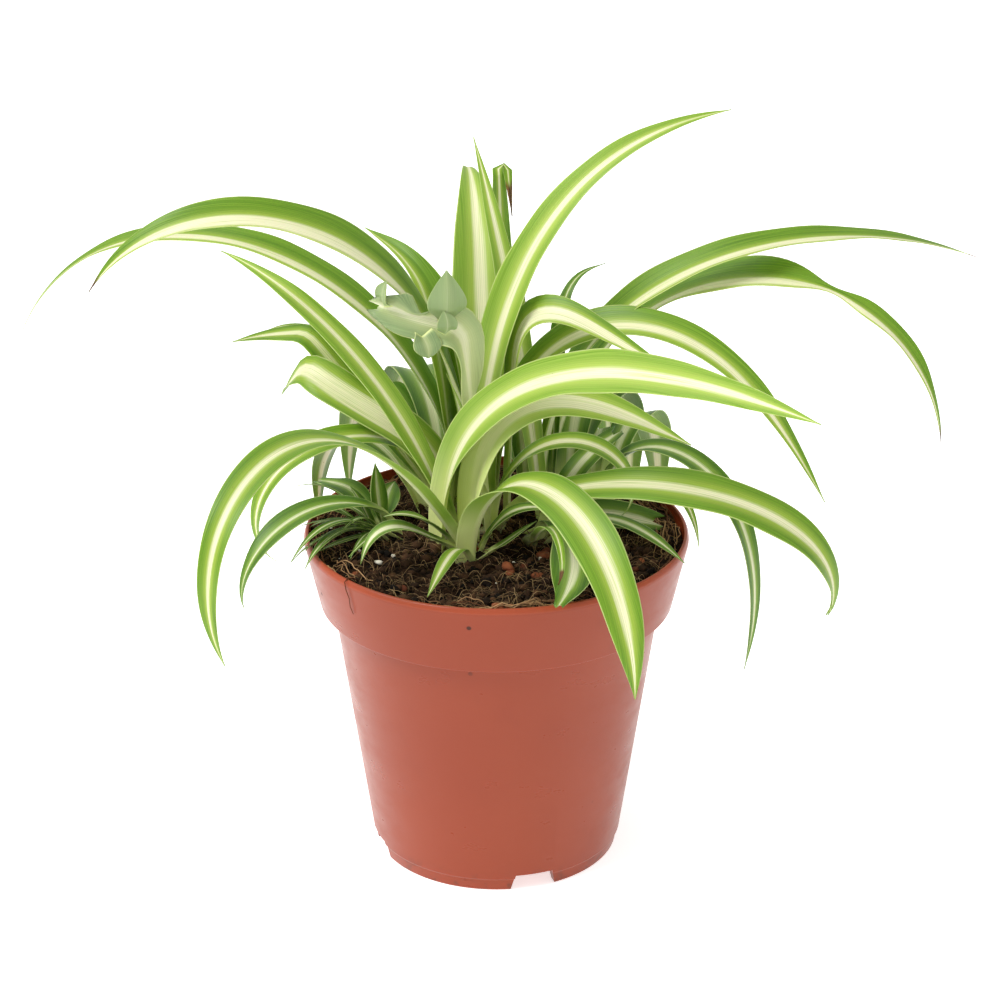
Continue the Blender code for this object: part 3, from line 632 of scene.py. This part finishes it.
def blade_angles(leaf, s):
    rise, fall = leaf["arch"]
    elevation = rise + (fall - rise) * turn_share(s, *leaf["bend"])
    heading = leaf["heading"] + leaf["swing"] * s
    if leaf["kink"]:
        at, span, drop, side = leaf["kink"]
        share = smooth((s - at) / span + 0.5)
        elevation = elevation + drop * share
        heading = heading + side * share
    return np.radians(elevation), np.radians(heading)


def midrib(leaf, stations):
    """Points along the midrib with its direction, the way across and the upper face's normal."""
    steps = stations * 6
    (cx, cy), _ = CROWNS[leaf["crown"]]
    reach, angle = leaf["seat"]
    x, y = polar(reach, math.radians(angle))
    seat_z = CROWN_Z + SEAT_RISE + HALF_FOOT * math.cos(math.radians(leaf["arch"][0]))
    seat = np.array([(cx + x) * MM, (cy + y) * MM, seat_z])
    if leaf["start"]:
        seat = np.array(leaf["start"]) * MM
    between = (np.arange(steps) + 0.5) / steps
    path = np.cumsum(direction(*blade_angles(leaf, between)), 0) * leaf["length"] * MM / steps
    points = seat + np.vstack([np.zeros(3), path])[::6]
    s = np.linspace(0, 1, stations + 1)
    elevation, heading = blade_angles(leaf, s)
    along = direction(elevation, heading)
    flat = np.stack([-np.sin(heading), np.cos(heading), 0 * heading], -1)
    up = np.cross(along, flat)
    roll = np.radians(leaf["roll"][0] + (leaf["roll"][1] - leaf["roll"][0]) * s)[:, None]
    across = flat * np.cos(roll) + up * np.sin(roll)
    normal = up * np.cos(roll) - flat * np.sin(roll)
    if leaf["start"]:
        return s, s * leaf["length"] * MM, points, along, across, normal
    # the foot goes on down into the soil
    drop = max(0.0, seat_z - FOOT_Z) / max(math.sin(elevation[0]), 0.45)
    feet = max(2, round(drop / (1.5 * MM)))
    back = np.linspace(drop, 0, feet + 1)[:-1, None]
    points = np.vstack([points[0] - along[0] * back, points])
    s = np.concatenate([np.full(feet, 0.0), s])
    along, across, normal = (
        np.vstack([np.repeat(v[:1], feet, 0), v]) for v in (along, across, normal))
    run = np.concatenate([-back[:, 0], s[feet:] * leaf["length"] * MM])
    return s, run, points, along, across, normal


def hump(s, at, span, height):
    """As high as height at a place, and soon 0 away from it."""
    return height * np.exp(-((s - at) / span) ** 2)


def blade_width(leaf, s):
    widest = leaf["widest"]
    foot = min(leaf["foot"] + FOOT_EXTRA, 0.9)
    widen = foot + (1 - foot) * smooth(s / widest)
    t = np.clip((s - widest) / (1 - widest), 0, 1)
    narrow = 1 - (1 - leaf["end"]) * t ** leaf["taper"]
    share = np.where(s < widest, widen, narrow)
    if leaf["pinch"]:
        share = share * (1 - hump(s, *leaf["pinch"]))
    if leaf["swell"]:
        share = share * (1 + hump(s, *leaf["swell"]))
    least = 0.35 * MM if leaf["end"] == 0 else 1 * MM
    return np.maximum(leaf["width"] * MM * share, least)


def torn_end(leaf, u, s):
    """How far a torn end's points are drawn back, as a share of the width."""
    if not leaf["end"]:
        return 0 * u * s
    ragged = 0.3 * np.sin(5.1 * u + 0.6) + 0.14 * np.sin(13 * u + 1.2) + 0.3 * u ** 2
    start = 1 - 1.5 * leaf["width"] / leaf["length"]
    return ragged * leaf["end"] * smooth((s - start) / (1 - start))


def blade_arrays(leaf, seed):
    """Points of the upper and lower faces, row by row, and what the material needs at each."""
    stations = int(max(FEWEST_STATIONS, round(leaf["length"] * MM / STATION)))
    s, run, points, along, across, normal = midrib(leaf, stations)
    u = np.array(ACROSS, float)
    half = blade_width(leaf, s)[:, None] / 2
    opened = smooth(s / KEEL_OPENS_AT)
    keel = np.radians(leaf["keel"] + (KEEL_FOOT - leaf["keel"]) * (1 - opened))[:, None]
    # a V with a rounded bottom, whose margins curl
    soft = (np.sqrt(u ** 2 + 0.0036) - 0.06) / (math.sqrt(1.0036) - 0.06)
    margin = np.clip(np.abs(u) - 0.45, 0, 1) ** 2
    rng = random.Random(seed)
    phase = [rng.uniform(0, 6.28) for _ in range(6)]
    length = run[:, None]
    # the margins' waves, others on each side
    rough = np.sin(length / (7.5 * MM) + phase[0]) + 0.6 * np.sin(length / (3.9 * MM) + phase[1])
    other = np.sin(length / (8.3 * MM) + phase[2]) + 0.6 * np.sin(length / (4.3 * MM) + phase[3])
    waves = np.where(u < 0, rough, other) * np.abs(u) ** 2.5 * leaf["wave"] * MM * 0.5
    waves = waves * smooth(s[:, None] / 0.2) * np.minimum(1, half / (2.5 * MM))
    out = half * u * np.cos(keel)
    lift = half * (soft * np.sin(keel) - leaf["curl"] * margin * smooth(s[:, None] / 0.3)) + waves
    # a slow unevenness in the width, so that the outline isn't ruled
    uneven = 1 + (0.03 + leaf["ruffle"]) * np.sin(length / (9 * MM) + phase[4])
    uneven = uneven + 0.02 * np.sin(length / (4.7 * MM) + phase[5])
    out = out * np.where(np.abs(u) > 0.5, uneven, 1)
    if leaf["notch"]:
        margin_side, *place = leaf["notch"]
        out = out * np.where(u * margin_side > 0, 1 - hump(s[:, None], *place), 1)
    upper = points[:, None] + across[:, None] * out[..., None] + normal[:, None] * lift[..., None]
    pull = torn_end(leaf, u[None, :], s[:, None]) * leaf["width"] * MM
    upper = upper - along[:, None] * pull[..., None]
    face = np.cross(np.gradient(upper, axis=0), np.gradient(upper, axis=1))
    face /= np.maximum(np.linalg.norm(face, axis=-1, keepdims=True), 1e-9)
    if (face[len(s) // 2, len(u) // 2] * normal[len(s) // 2]).sum() < 0:
        face = -face
    slim = np.clip(half / (1.6 * MM), 0.35, 1)
    thick = (EDGE_THICKNESS + (THICKNESS - EDGE_THICKNESS) * (1 - np.abs(u) ** 1.5)) * slim
    lower = upper - face * thick[..., None] * 0.5
    upper = upper + face * thick[..., None] * 0.5
    return s, run, u, half, upper, lower


def blade_mesh(leaf, seed):
    """The blade as one closed body, with its long map and the values its material reads."""
    s, run, u, half, upper, lower = blade_arrays(leaf, seed)
    rows, columns = upper.shape[:2]
    points = np.concatenate([upper.reshape(-1, 3), lower.reshape(-1, 3)])
    count = rows * columns
    top = np.arange(count).reshape(rows, columns)
    under = top + count
    faces, maps = [], []
    # the upper side's map is in the left half, the lower side's in the right, the margins' between
    v = 0.03 + 0.94 * (run - run[0]) / (run[-1] - run[0])
    map_u = 0.02 + 0.44 * (u + 1) / 2

    def quad(a, b, c, d, corners):
        faces.append((a, b, c, d))
        maps.extend(corners)

    for i in range(rows - 1):
        low, high = v[i], v[i + 1]
        for j in range(columns - 1):
            left, right = map_u[j], map_u[j + 1]
            quad(top[i, j], top[i + 1, j], top[i + 1, j + 1], top[i, j + 1],
                 [(left, low), (left, high), (right, high), (right, low)])
            left, right = left + 0.5, right + 0.5
            quad(under[i, j], under[i, j + 1], under[i + 1, j + 1], under[i + 1, j],
                 [(left, low), (right, low), (right, high), (left, high)])
        quad(top[i, 0], under[i, 0], under[i + 1, 0], top[i + 1, 0],
             [(0.47, low), (0.48, low), (0.48, high), (0.47, high)])
        quad(top[i, -1], top[i + 1, -1], under[i + 1, -1], under[i, -1],
             [(0.98, low), (0.98, high), (0.99, high), (0.99, low)])
    for row, low, flip in ((0, 0.005, False), (rows - 1, 0.985, True)):
        for j in range(columns - 1):
            left, right, high = map_u[j], map_u[j + 1], low + 0.01
            corners = [top[row, j], top[row, j + 1], under[row, j + 1], under[row, j]]
            spots = [(left, low), (right, low), (right, high), (left, high)]
            if flip:
                corners.reverse()
                spots.reverse()
            quad(*corners, spots)
    pale = leaf["pale"]
    if pale <= LONG_PALE_FOOT:
        pale = min(pale, 0.2 * leaf["length"])
    values = {
        "across": np.tile(np.tile(u, rows), 2),
        "along": np.tile(np.repeat(s, columns), 2),
        "across_mm": np.tile((half * u).ravel() / MM, 2),
        "along_mm": np.tile(np.repeat(run, columns) / MM, 2),
        "side": np.repeat(leaf["faces"], count),
        "seed": np.full(2 * count, seed * 7.31),
        "pale": np.full(2 * count, pale),
    }
    for key in ("stripe", "shift", "brown"):
        values[key] = np.full(2 * count, leaf[key])
    return points, faces, maps, values


def blades_object(name, leaves, seed, mat):
    """One piece of one or more blades."""
    points, faces, maps, values = [], [], [], {}
    start = 0
    for k, leaf in enumerate(leaves):
        p, f, m, v = blade_mesh(leaf, seed + 0.37 * k)
        points.append(p)
        faces += [tuple(int(i) + start for i in face) for face in f]
        maps += m
        for key, array in v.items():
            values.setdefault(key, []).append(array)
        start += len(p)
    mesh = mesh_from(name, np.concatenate(points), faces)
    for key, arrays in values.items():
        set_floats(mesh, key, np.concatenate(arrays))
    layer = mesh.uv_layers.new(name="OFBake")
    layer.data.foreach_set("uv", np.array(maps, np.float32).ravel())
    return new_object(name, mesh, mat)


def rounded(corners, steps=4):
    """The profile's (radius, height, rounding) corners, with an arc in the place of each."""
    points = []
    for i, (r, z, rounding) in enumerate(corners):
        here = Vector((r, z))
        if rounding == 0 or i in (0, len(corners) - 1):
            points.append((r, z))
            continue
        before = Vector(corners[i - 1][:2]) - here
        after = Vector(corners[i + 1][:2]) - here
        cut = min(rounding * MM, before.length * 0.45, after.length * 0.45)
        a, b = here + before.normalized() * cut, here + after.normalized() * cut
        for k in range(steps + 1):
            t = k / steps
            point = a * (1 - t) ** 2 + here * 2 * t * (1 - t) + b * t ** 2
            points.append((point.x, point.y))
    return points


def wall_radius(z):
    return BASE_RADIUS + (NECK_RADIUS - BASE_RADIUS) * z / BAND_Z


def apply_modifiers(obj):
    depsgraph = bpy.context.evaluated_depsgraph_get()
    mesh = bpy.data.meshes.new_from_object(obj.evaluated_get(depsgraph))
    obj.modifiers.clear()
    obj.data = mesh


def turned(name, profile, mat):
    mesh = bpy.data.meshes.new(name)
    edges = [(i, i + 1) for i in range(len(profile) - 1)]
    mesh.from_pydata([(r, 0, z) for r, z in profile], edges, [])
    obj = new_object(name, mesh, mat)
    screw = obj.modifiers.new("Turn", "SCREW")
    screw.steps = screw.render_steps = POT_STEPS
    screw.use_merge_vertices = True
    screw.merge_threshold = 0.000005
    screw.use_normal_calculate = True
    apply_modifiers(obj)
    return obj


def notch_cutter(i):
    bm = bmesh.new()
    bmesh.ops.create_cube(bm, size=1)
    inside = BASE_RADIUS - FOOT_STEP - FOOT_WIDTH - 1 * MM
    for vert in bm.verts:
        low = vert.co.z < 0
        vert.co.x = inside if vert.co.x < 0 else wall_radius(NOTCH_HEIGHT) + 1 * MM
        vert.co.y *= NOTCH_WIDTH[0] if low else NOTCH_WIDTH[1]
        vert.co.z = -1 * MM if low else NOTCH_HEIGHT
    cutter = add_object(f"notch_{i}", mesh_of("notch", bm))
    cutter.rotation_euler.z = math.radians(NOTCH_FIRST + 360 / NOTCHES * i)
    return cutter


def drain_cutter(i):
    bm = bmesh.new()
    middle = FLOOR_Z + FLOOR_THICKNESS / 2
    bmesh.ops.create_cone(bm, cap_ends=True, segments=40, radius1=DRAIN_RADIUS,
                          radius2=DRAIN_RADIUS, depth=2 * FLOOR_THICKNESS,
                          matrix=Matrix.Translation((0, 0, middle)))
    cutter = add_object(f"drain_{i}", mesh_of("drain", bm))
    angle = math.radians(NOTCH_FIRST + 360 / DRAIN_HOLES * (i + 0.5))
    cutter.location = (*polar(DRAIN_RING, angle), 0)
    return cutter


def make_pot():
    floor_top = FLOOR_Z + FLOOR_THICKNESS
    ledge = BAND_Z + WALL
    lip_radius = RIM_RADIUS - LIP_HEIGHT * 0.5
    corners = [
        (0, floor_top, 0),
        (wall_radius(floor_top) - WALL, floor_top, 2.0),
        (wall_radius(BAND_Z) - WALL, ledge, 0.8),
        (BAND_RADIUS - WALL, ledge + LEDGE_RISE, 1.0),
        (RIM_RADIUS - WALL, RIM_Z - LIP_HEIGHT, 0.6),
        (lip_radius - LIP_WIDTH, RIM_Z, 0.35),
        (lip_radius, RIM_Z, 0.5),
        (RIM_RADIUS, RIM_Z - LIP_HEIGHT, 0.7),
        (BAND_RADIUS + 0.25 * MM, BAND_Z + 1.1 * MM, 0.5),
        (BAND_RADIUS, BAND_Z, 0.35),
        (NECK_RADIUS, BAND_Z - BAND_SLOPE, 1.4),
        (wall_radius(FLOOR_Z), FLOOR_Z, 0.25),
        (wall_radius(FLOOR_Z) - FOOT_STEP, FLOOR_Z - FOOT_STEP, 0.3),
        (BASE_RADIUS - FOOT_STEP, 0, 0.5),
        (BASE_RADIUS - FOOT_STEP - FOOT_WIDTH, 0, 0.5),
        (BASE_RADIUS - FOOT_STEP - FOOT_WIDTH, FLOOR_Z, 0.8),
        (0, FLOOR_Z, 0),
    ]
    pot = turned("nursery_pot", rounded(corners), pot_look())
    cutters = [notch_cutter(i) for i in range(NOTCHES)]
    cutters += [drain_cutter(i) for i in range(DRAIN_HOLES)]
    bpy.context.view_layer.update()
    for cutter in cutters:
        boolean = pot.modifiers.new("Cut", "BOOLEAN")
        boolean.operation = "DIFFERENCE"
        boolean.object = cutter
    apply_modifiers(pot)
    for cutter in cutters:
        bpy.data.objects.remove(cutter, do_unlink=True)
    pot.data.shade_smooth()
    pot.data.set_sharp_from_angle(angle=math.radians(40))
    dress(pot, "pot_plastic", "pot")


def soil_height(x, y):
    """The soil's lumpy surface, a little lower just inside the rim."""
    p = Vector((x, y, 0))
    lumps = noise.noise(p * 130) * 1.5 + noise.noise(p * 290 + Vector((3, 1, 7))) * 1.3
    lumps += noise.noise(p * 640 + Vector((9, 4, 2))) * 0.5
    reach = math.hypot(x, y) / RIM_RADIUS
    return SOIL_Z + (0.9 * (1 - reach ** 2) + lumps * min(1, (1 - reach) * 9 + 0.25)) * MM


def make_soil():
    top_edge = RIM_RADIUS - WALL - 0.75 * MM
    points, faces = [(0, 0, soil_height(0, 0))], []
    for i in range(1, SOIL_RINGS + 1):
        r = top_edge * (i / SOIL_RINGS) ** 0.9
        for angle in circle(SOIL_SPOKES):
            x, y = polar(r, angle)
            points.append((x, y, soil_height(x, y)))
    floor_top = FLOOR_Z + FLOOR_THICKNESS
    side = [(BAND_RADIUS - WALL - SOIL_GAP, BAND_Z + WALL + LEDGE_RISE + SOIL_GAP),
            (wall_radius(BAND_Z) - WALL - SOIL_GAP, BAND_Z + WALL + SOIL_GAP),
            (wall_radius(floor_top) - WALL - SOIL_GAP, floor_top + SOIL_GAP)]
    for r, z in side:
        points += [(*polar(r, angle), z) for angle in circle(SOIL_SPOKES)]
    points.append((0, 0, side[-1][1]))
    rings = SOIL_RINGS + len(side) - 1
    for k in range(SOIL_SPOKES):
        following = (k + 1) % SOIL_SPOKES
        faces.append((0, 1 + k, 1 + following))
        for i in range(rings):
            a, b = 1 + i * SOIL_SPOKES + k, 1 + i * SOIL_SPOKES + following
            faces.append((a, a + SOIL_SPOKES, b + SOIL_SPOKES, b))
        last = 1 + rings * SOIL_SPOKES
        faces.append((last + following, last + k, len(points) - 1))
    soil = new_object("soil_surface", mesh_from("soil_surface", points, faces), soil_look())
    dress(soil, "soil", "soil")


def scatter(rng, reach=SCATTER):
    return polar(reach * math.sqrt(rng.random()), rng.uniform(0, 2 * math.pi))


def lump(rng, centre, size, squash=0.7, detail=1):
    """A rough pebble-like body: its points and faces."""
    bm = bmesh.new()
    bmesh.ops.create_icosphere(bm, subdivisions=detail, radius=1)
    turn = Matrix.Rotation(rng.uniform(0, 6.28), 3, "Z")
    turn = turn @ Matrix.Rotation(rng.uniform(-0.6, 0.6), 3, "X")
    offset = Vector((rng.uniform(0, 50), rng.uniform(0, 50), rng.uniform(0, 50)))
    stretch = Vector((1, rng.uniform(0.6, 0.95), rng.uniform(0.45, 0.8) * squash / 0.7))
    points = []
    for vert in bm.verts:
        co = vert.co * (1 + 0.45 * noise.noise(vert.co * 1.3 + offset))
        co = Vector((co.x * stretch.x, co.y * stretch.y, co.z * stretch.z))
        points.append(Vector(centre) + turn @ co * size)
    faces = [[v.index for v in face.verts] for face in bm.faces]
    bm.free()
    return points, faces


def tube(path, radii, sides=4):
    """A closed tube along a path: its points and faces."""
    points = []
    count = len(path)
    previous = Vector((0, 0, 1))
    for i, here in enumerate(path):
        ahead = Vector(path[min(i + 1, count - 1)]) - Vector(path[max(i - 1, 0)])
        ahead.normalize()
        first = ahead.cross(previous)
        if first.length < 1e-3:
            first = ahead.orthogonal()
        first.normalize()
        second = ahead.cross(first)
        for angle in circle(sides):
            out = first * math.cos(angle) + second * math.sin(angle)
            points.append(Vector(here) + out * radii[i])
    return points, skin(count, sides)


def scraps_object(name, bodies, *look):
    """Many small bodies as one piece. Each is given as its points, its faces and its shade."""
    points, faces, shades = [], [], []
    for p, f, shade in bodies:
        start = len(points)
        points += p
        faces += [[i + start for i in face] for face in f]
        shades += [shade] * len(p)
    mesh = mesh_from(name, points, faces)
    set_floats(mesh, "shade", shades)
    dress(new_object(name, mesh, scrap_look(*look)), "soil")


def crumbs(rng):
    bodies = []
    for _ in range(CRUMBS):
        x, y = scatter(rng)
        size = rng.uniform(0.45, 1.0) ** 3 * 2.2 * MM
        z = soil_height(x, y) + size * rng.uniform(-0.1, 0.35)
        bodies.append((*lump(rng, (x, y, z), size), rng.uniform(0.0, 1.0)))
    return bodies


def fibres(rng):
    bodies = []
    for _ in range(FIBRES):
        x, y = scatter(rng, 56.5 * MM)
        heading = rng.uniform(0, 2 * math.pi)
        length = rng.uniform(2, 10) * MM
        bend = rng.uniform(-35, 35)
        lift = rng.uniform(0.3, 2.2) * MM
        path = []
        for i in range(FIBRE_POINTS):
            t = i / (FIBRE_POINTS - 1)
            path.append((x, y, soil_height(x, y) + (0.4 + 4 * t * (1 - t)) * lift))
            heading += math.radians(bend) / FIBRE_POINTS + rng.uniform(-0.14, 0.14)
            x += length / FIBRE_POINTS * math.cos(heading)
            y += length / FIBRE_POINTS * math.sin(heading)
            if math.hypot(x, y) > 57.3 * MM:
                break
        if len(path) < 3:
            continue
        radius = rng.uniform(0.05, 0.12) * MM
        radii = [radius * (1 - 0.6 * i / len(path)) for i in range(len(path))]
        bodies.append((*tube(path, radii), rng.uniform(0.0, 1.0)))
    return bodies


def stones(rng, spots, more, sizes, rise, squash, shades):
    """Lumps where the photograph shows them, as x, y and size in mm, and more that lie about."""
    for _ in range(more):
        spots.append((*(c / MM for c in scatter(rng)), rng.uniform(*sizes)))
    bodies = []
    for x, y, size in spots:
        x, y, size = x * MM, y * MM, size * MM
        place = (x, y, soil_height(x, y) + size * rise)
        bodies.append((*lump(rng, place, size, squash, 2), rng.uniform(*shades)))
    return bodies


def rim_roots(rng):
    """Matted roots along the inside of the rim."""
    bodies = []
    for first, last in ((160, 205), (345, 392), (40, 70), (100, 135), (250, 300)):
        for _ in range(30):
            angle = math.radians(rng.uniform(first, last))
            sweep = math.radians(rng.uniform(8, 26)) * rng.choice((-1, 1))
            reach = rng.uniform(50, 57.6) * MM
            lift = rng.uniform(0.2, 2.6) * MM
            path = []
            for i in range(ROOT_POINTS):
                t = i / (ROOT_POINTS - 1)
                r = min(57.7 * MM, reach + rng.uniform(-0.6, 0.9) * MM)
                x, y = polar(r, angle + sweep * t)
                z = soil_height(x, y) + 0.3 * MM + lift * math.sin(math.pi * t)
                path.append((x, y, z))
            radius = rng.uniform(0.1, 0.24) * MM
            bodies.append((*tube(path, [radius] * ROOT_POINTS), rng.uniform(0.1, 0.9)))
    return bodies


def root_over_rim():
    path = [(-41.5, -33.5, 104.5), (-43.2, -35.6, 106.3), (-44.6, -38.3, 107.35),
            (-45.4, -39.8, 106.9), (-45.0, -40.5, 104.6), (-44.1, -40.2, 101.6),
            (-43.9, -39.8, 98.8), (-43.0, -39.3, 96.0)]
    path = [tuple(c * MM for c in point) for point in path]
    radii = [0.22 * MM * (1 - 0.07 * i) for i in range(len(path))]
    return [(*tube(path, radii, 6), 0.2)]


def make_soil_scraps():
    rng = random.Random(11)
    scraps_object("soil_crumbs", crumbs(rng),
                  "peat crumbs", rgb(14, 9, 6), rgb(84, 58, 38), 500.0, 0.92)
    scraps_object("coir_fibres", fibres(rng), "coir", rgb(58, 40, 25), rgb(176, 146, 104), 300.0)
    chips = [(3.5, -24.8, 2.6), (14.9, -17.4, 2.4), (4.1, -27.5, 1.8), (12.5, -30.0, 2.0),
             (-28.0, -38.5, 1.9)]
    chips = stones(rng, chips, CHIPS, (1.2, 2.3), 0.3, 0.5, (0.2, 0.9))
    scraps_object("bark_chips", chips, "bark", rgb(74, 36, 22), rgb(150, 86, 54), 350.0)
    grains = [(-35.9, -20.4, 1.3), (8.1, -21.1, 0.9), (13.6, -18.9, 1.2)]
    grains = stones(rng, grains, GRAINS, (0.35, 0.8), 0.7, 0.7, (0.3, 1.0))
    scraps_object("perlite_grains", grains,
                  "perlite", rgb(196, 186, 160), rgb(238, 234, 218), 500.0, 0.7)
    scraps_object("rim_roots", rim_roots(rng), "roots", rgb(104, 66, 42), rgb(196, 156, 112), 300.0)
    scraps_object("root_over_rim", root_over_rim(),
                  "root over rim", rgb(88, 46, 30), rgb(150, 92, 60), 300.0)


def crown_parts(name):
    """A ribbed dome of old leaf sheaths, on a root stock that goes down into the soil."""
    (cx, cy), radius = CROWNS[name]
    rng = random.Random(name)
    ribs = rng.randint(5, 7)
    phase = rng.uniform(0, 6.28)
    # share of the radius, and height in mm
    profile = [(0.55, 96.0), (0.68, 99.0), (0.76, 101.5), (0.8, 102.8), (0.78, 103.7),
               (0.72, 104.4), (0.62, 104.9), (0.48, 105.3), (0.32, 105.5), (0.15, 105.6)]
    points = []
    for share, z in profile:
        for angle in circle(CROWN_SPOKES):
            uneven = 1 + 0.07 * math.cos(ribs * angle + phase)
            uneven += 0.03 * math.cos(11 * angle + 2 * phase)
            x, y = polar(radius * share * uneven, angle)
            points.append(((cx + x) * MM, (cy + y) * MM, z * MM))
    return points, skin(len(profile), CROWN_SPOKES)


def make_crowns():
    mat = crown_look()
    for name in CROWNS:
        title, node = "sheaths_" + name, "crown_" + name
        if name == "plantlet":
            title, node = "plantlet_crown", "plantlet_left"
        dress(new_object(title, mesh_from(title, *crown_parts(name)), mat), "crown", node)


def aim(obj, place, way):
    obj.location = place
    obj.rotation_euler = Vector(way).to_track_quat("-Z", "Y").to_euler()


def make_stage():
    bm = bmesh.new()
    bmesh.ops.create_grid(bm, x_segments=1, y_segments=1, size=FLOOR_REACH)
    look = Look("pale floor")
    grain = look.noise(look.place(), 900.0, 2.0)
    colour = look.mix(look.step(grain, 0.3, 0.7), rgb(252, 252, 252), rgb(254, 254, 254))
    mat = look.finish(colour, 0.9, Specular_IOR_Level=0.1, Emission_Color=(1.0, 1.0, 1.0),
                      Emission_Strength=FLOOR_GLOW)
    floor = new_object("floor", mesh_of("floor", bm), mat)

    world = bpy.data.worlds.new("studio")
    bpy.context.scene.world = world
    world.use_nodes = True
    back = world.node_tree.nodes["Background"]
    back.inputs["Color"].default_value = (1, 1, 1, 1)
    back.inputs["Strength"].default_value = SKY

    sun = bpy.data.lights.new("key", "SUN")
    sun.energy = KEY_STRENGTH
    sun.angle = math.radians(KEY_SPREAD)
    aim(add_object("key", sun), (0, 0, 0), KEY_WAY)
    lamp = bpy.data.lights.new("top", "AREA")
    lamp.shape = "DISK"
    lamp.size = TOP_SIZE
    lamp.energy = TOP_POWER
    aim(add_object("top", lamp), TOP_PLACE, TOP_WAY)

    camera = bpy.data.cameras.new("camera")
    camera.lens = CAMERA_LENS
    camera.sensor_width = 36
    camera.clip_start = 0.01
    view = add_object("camera", camera)
    view.location = CAMERA_PLACE
    view.rotation_euler = (math.radians(CAMERA_TILT), 0, 0)
    bpy.context.scene.camera = view
    settings = bpy.context.scene.view_settings
    settings.view_transform = "Standard"
    settings.look = "None"


def fine_blades():
    """Narrow blades between the plantlet's main ones."""
    rng = random.Random(5)
    blades = []
    for i in range(13):
        heading = 150 + 8.5 * i + rng.uniform(-6, 6)
        seat = (rng.uniform(1, 5), heading + 30)
        swing = rng.uniform(-20, 20)
        arch = (rng.uniform(20, 72), rng.uniform(-55, -10))
        length, width = rng.uniform(16, 31), rng.uniform(1.6, 3.2)
        bend = (rng.uniform(0.4, 0.6), 1.2)
        blades.append(leaf("plantlet", seat, heading, swing, arch, bend, NO_ROLL, length, width,
                           pale=3, stripe=0.2))
    return blades


def crumpled_lobes():
    """The crumpled leaf's torn margin: lobes that stand up from it and a flap curled back on it."""
    # start, heading, arch, length, width, widest, taper, keel
    lobes = [
        ((-15.0, -2.4, 175.3), -82, (64, 112), 18, 12.5, 0.42, 1.5, 10),
        ((-15.6, -5.0, 173.0), -60, (40, 150), 9, 6.5, 0.5, 1.6, 8),
        ((-33.5, -2.6, 180.8), -150, (70, 120), 8.5, 6.5, 0.5, 1.8, 8),
        ((-22.5, -6.2, 172.6), -55, (-20, -95), 7.5, 10, 0.5, 1.6, 8),
    ]
    return [leaf("middle", (0, 0), heading, 0, arch, EVEN_BEND, NO_ROLL, length, width,
                 start=start, widest=widest, taper=taper, keel=keel, foot=0.6, stripe=0.0,
                 wave=1.2, curl=0.5, pale=1)
            for start, heading, arch, length, width, widest, taper, keel in lobes]


def make_leaves():
    looks = {tone: leaf_look(tone) for tone in TONES}
    for number, (name, plan) in enumerate(LEAVES.items(), 1):
        plans = [plan]
        if name == "crumpled":
            plans += crumpled_lobes()
        mat = looks[plan["look"] or plan["tone"]]
        dress(blades_object("blade_" + name, plans, number, mat),
              "leaf_" + plan["tone"], "leaf_" + name)
    blades = [leaf("plantlet", *form, end=end, pale=3, stripe=0.2, swell=(0.5, 0.4, 0.25))
              for *form, end in PLANTLET]
    plantlet = blades_object("plantlet_blades", blades + fine_blades(), 60, looks["dark"])
    dress(plantlet, "leaf_green", "plantlet_left")


make_stage()
make_pot()
make_soil()
make_soil_scraps()
make_crowns()
make_leaves()
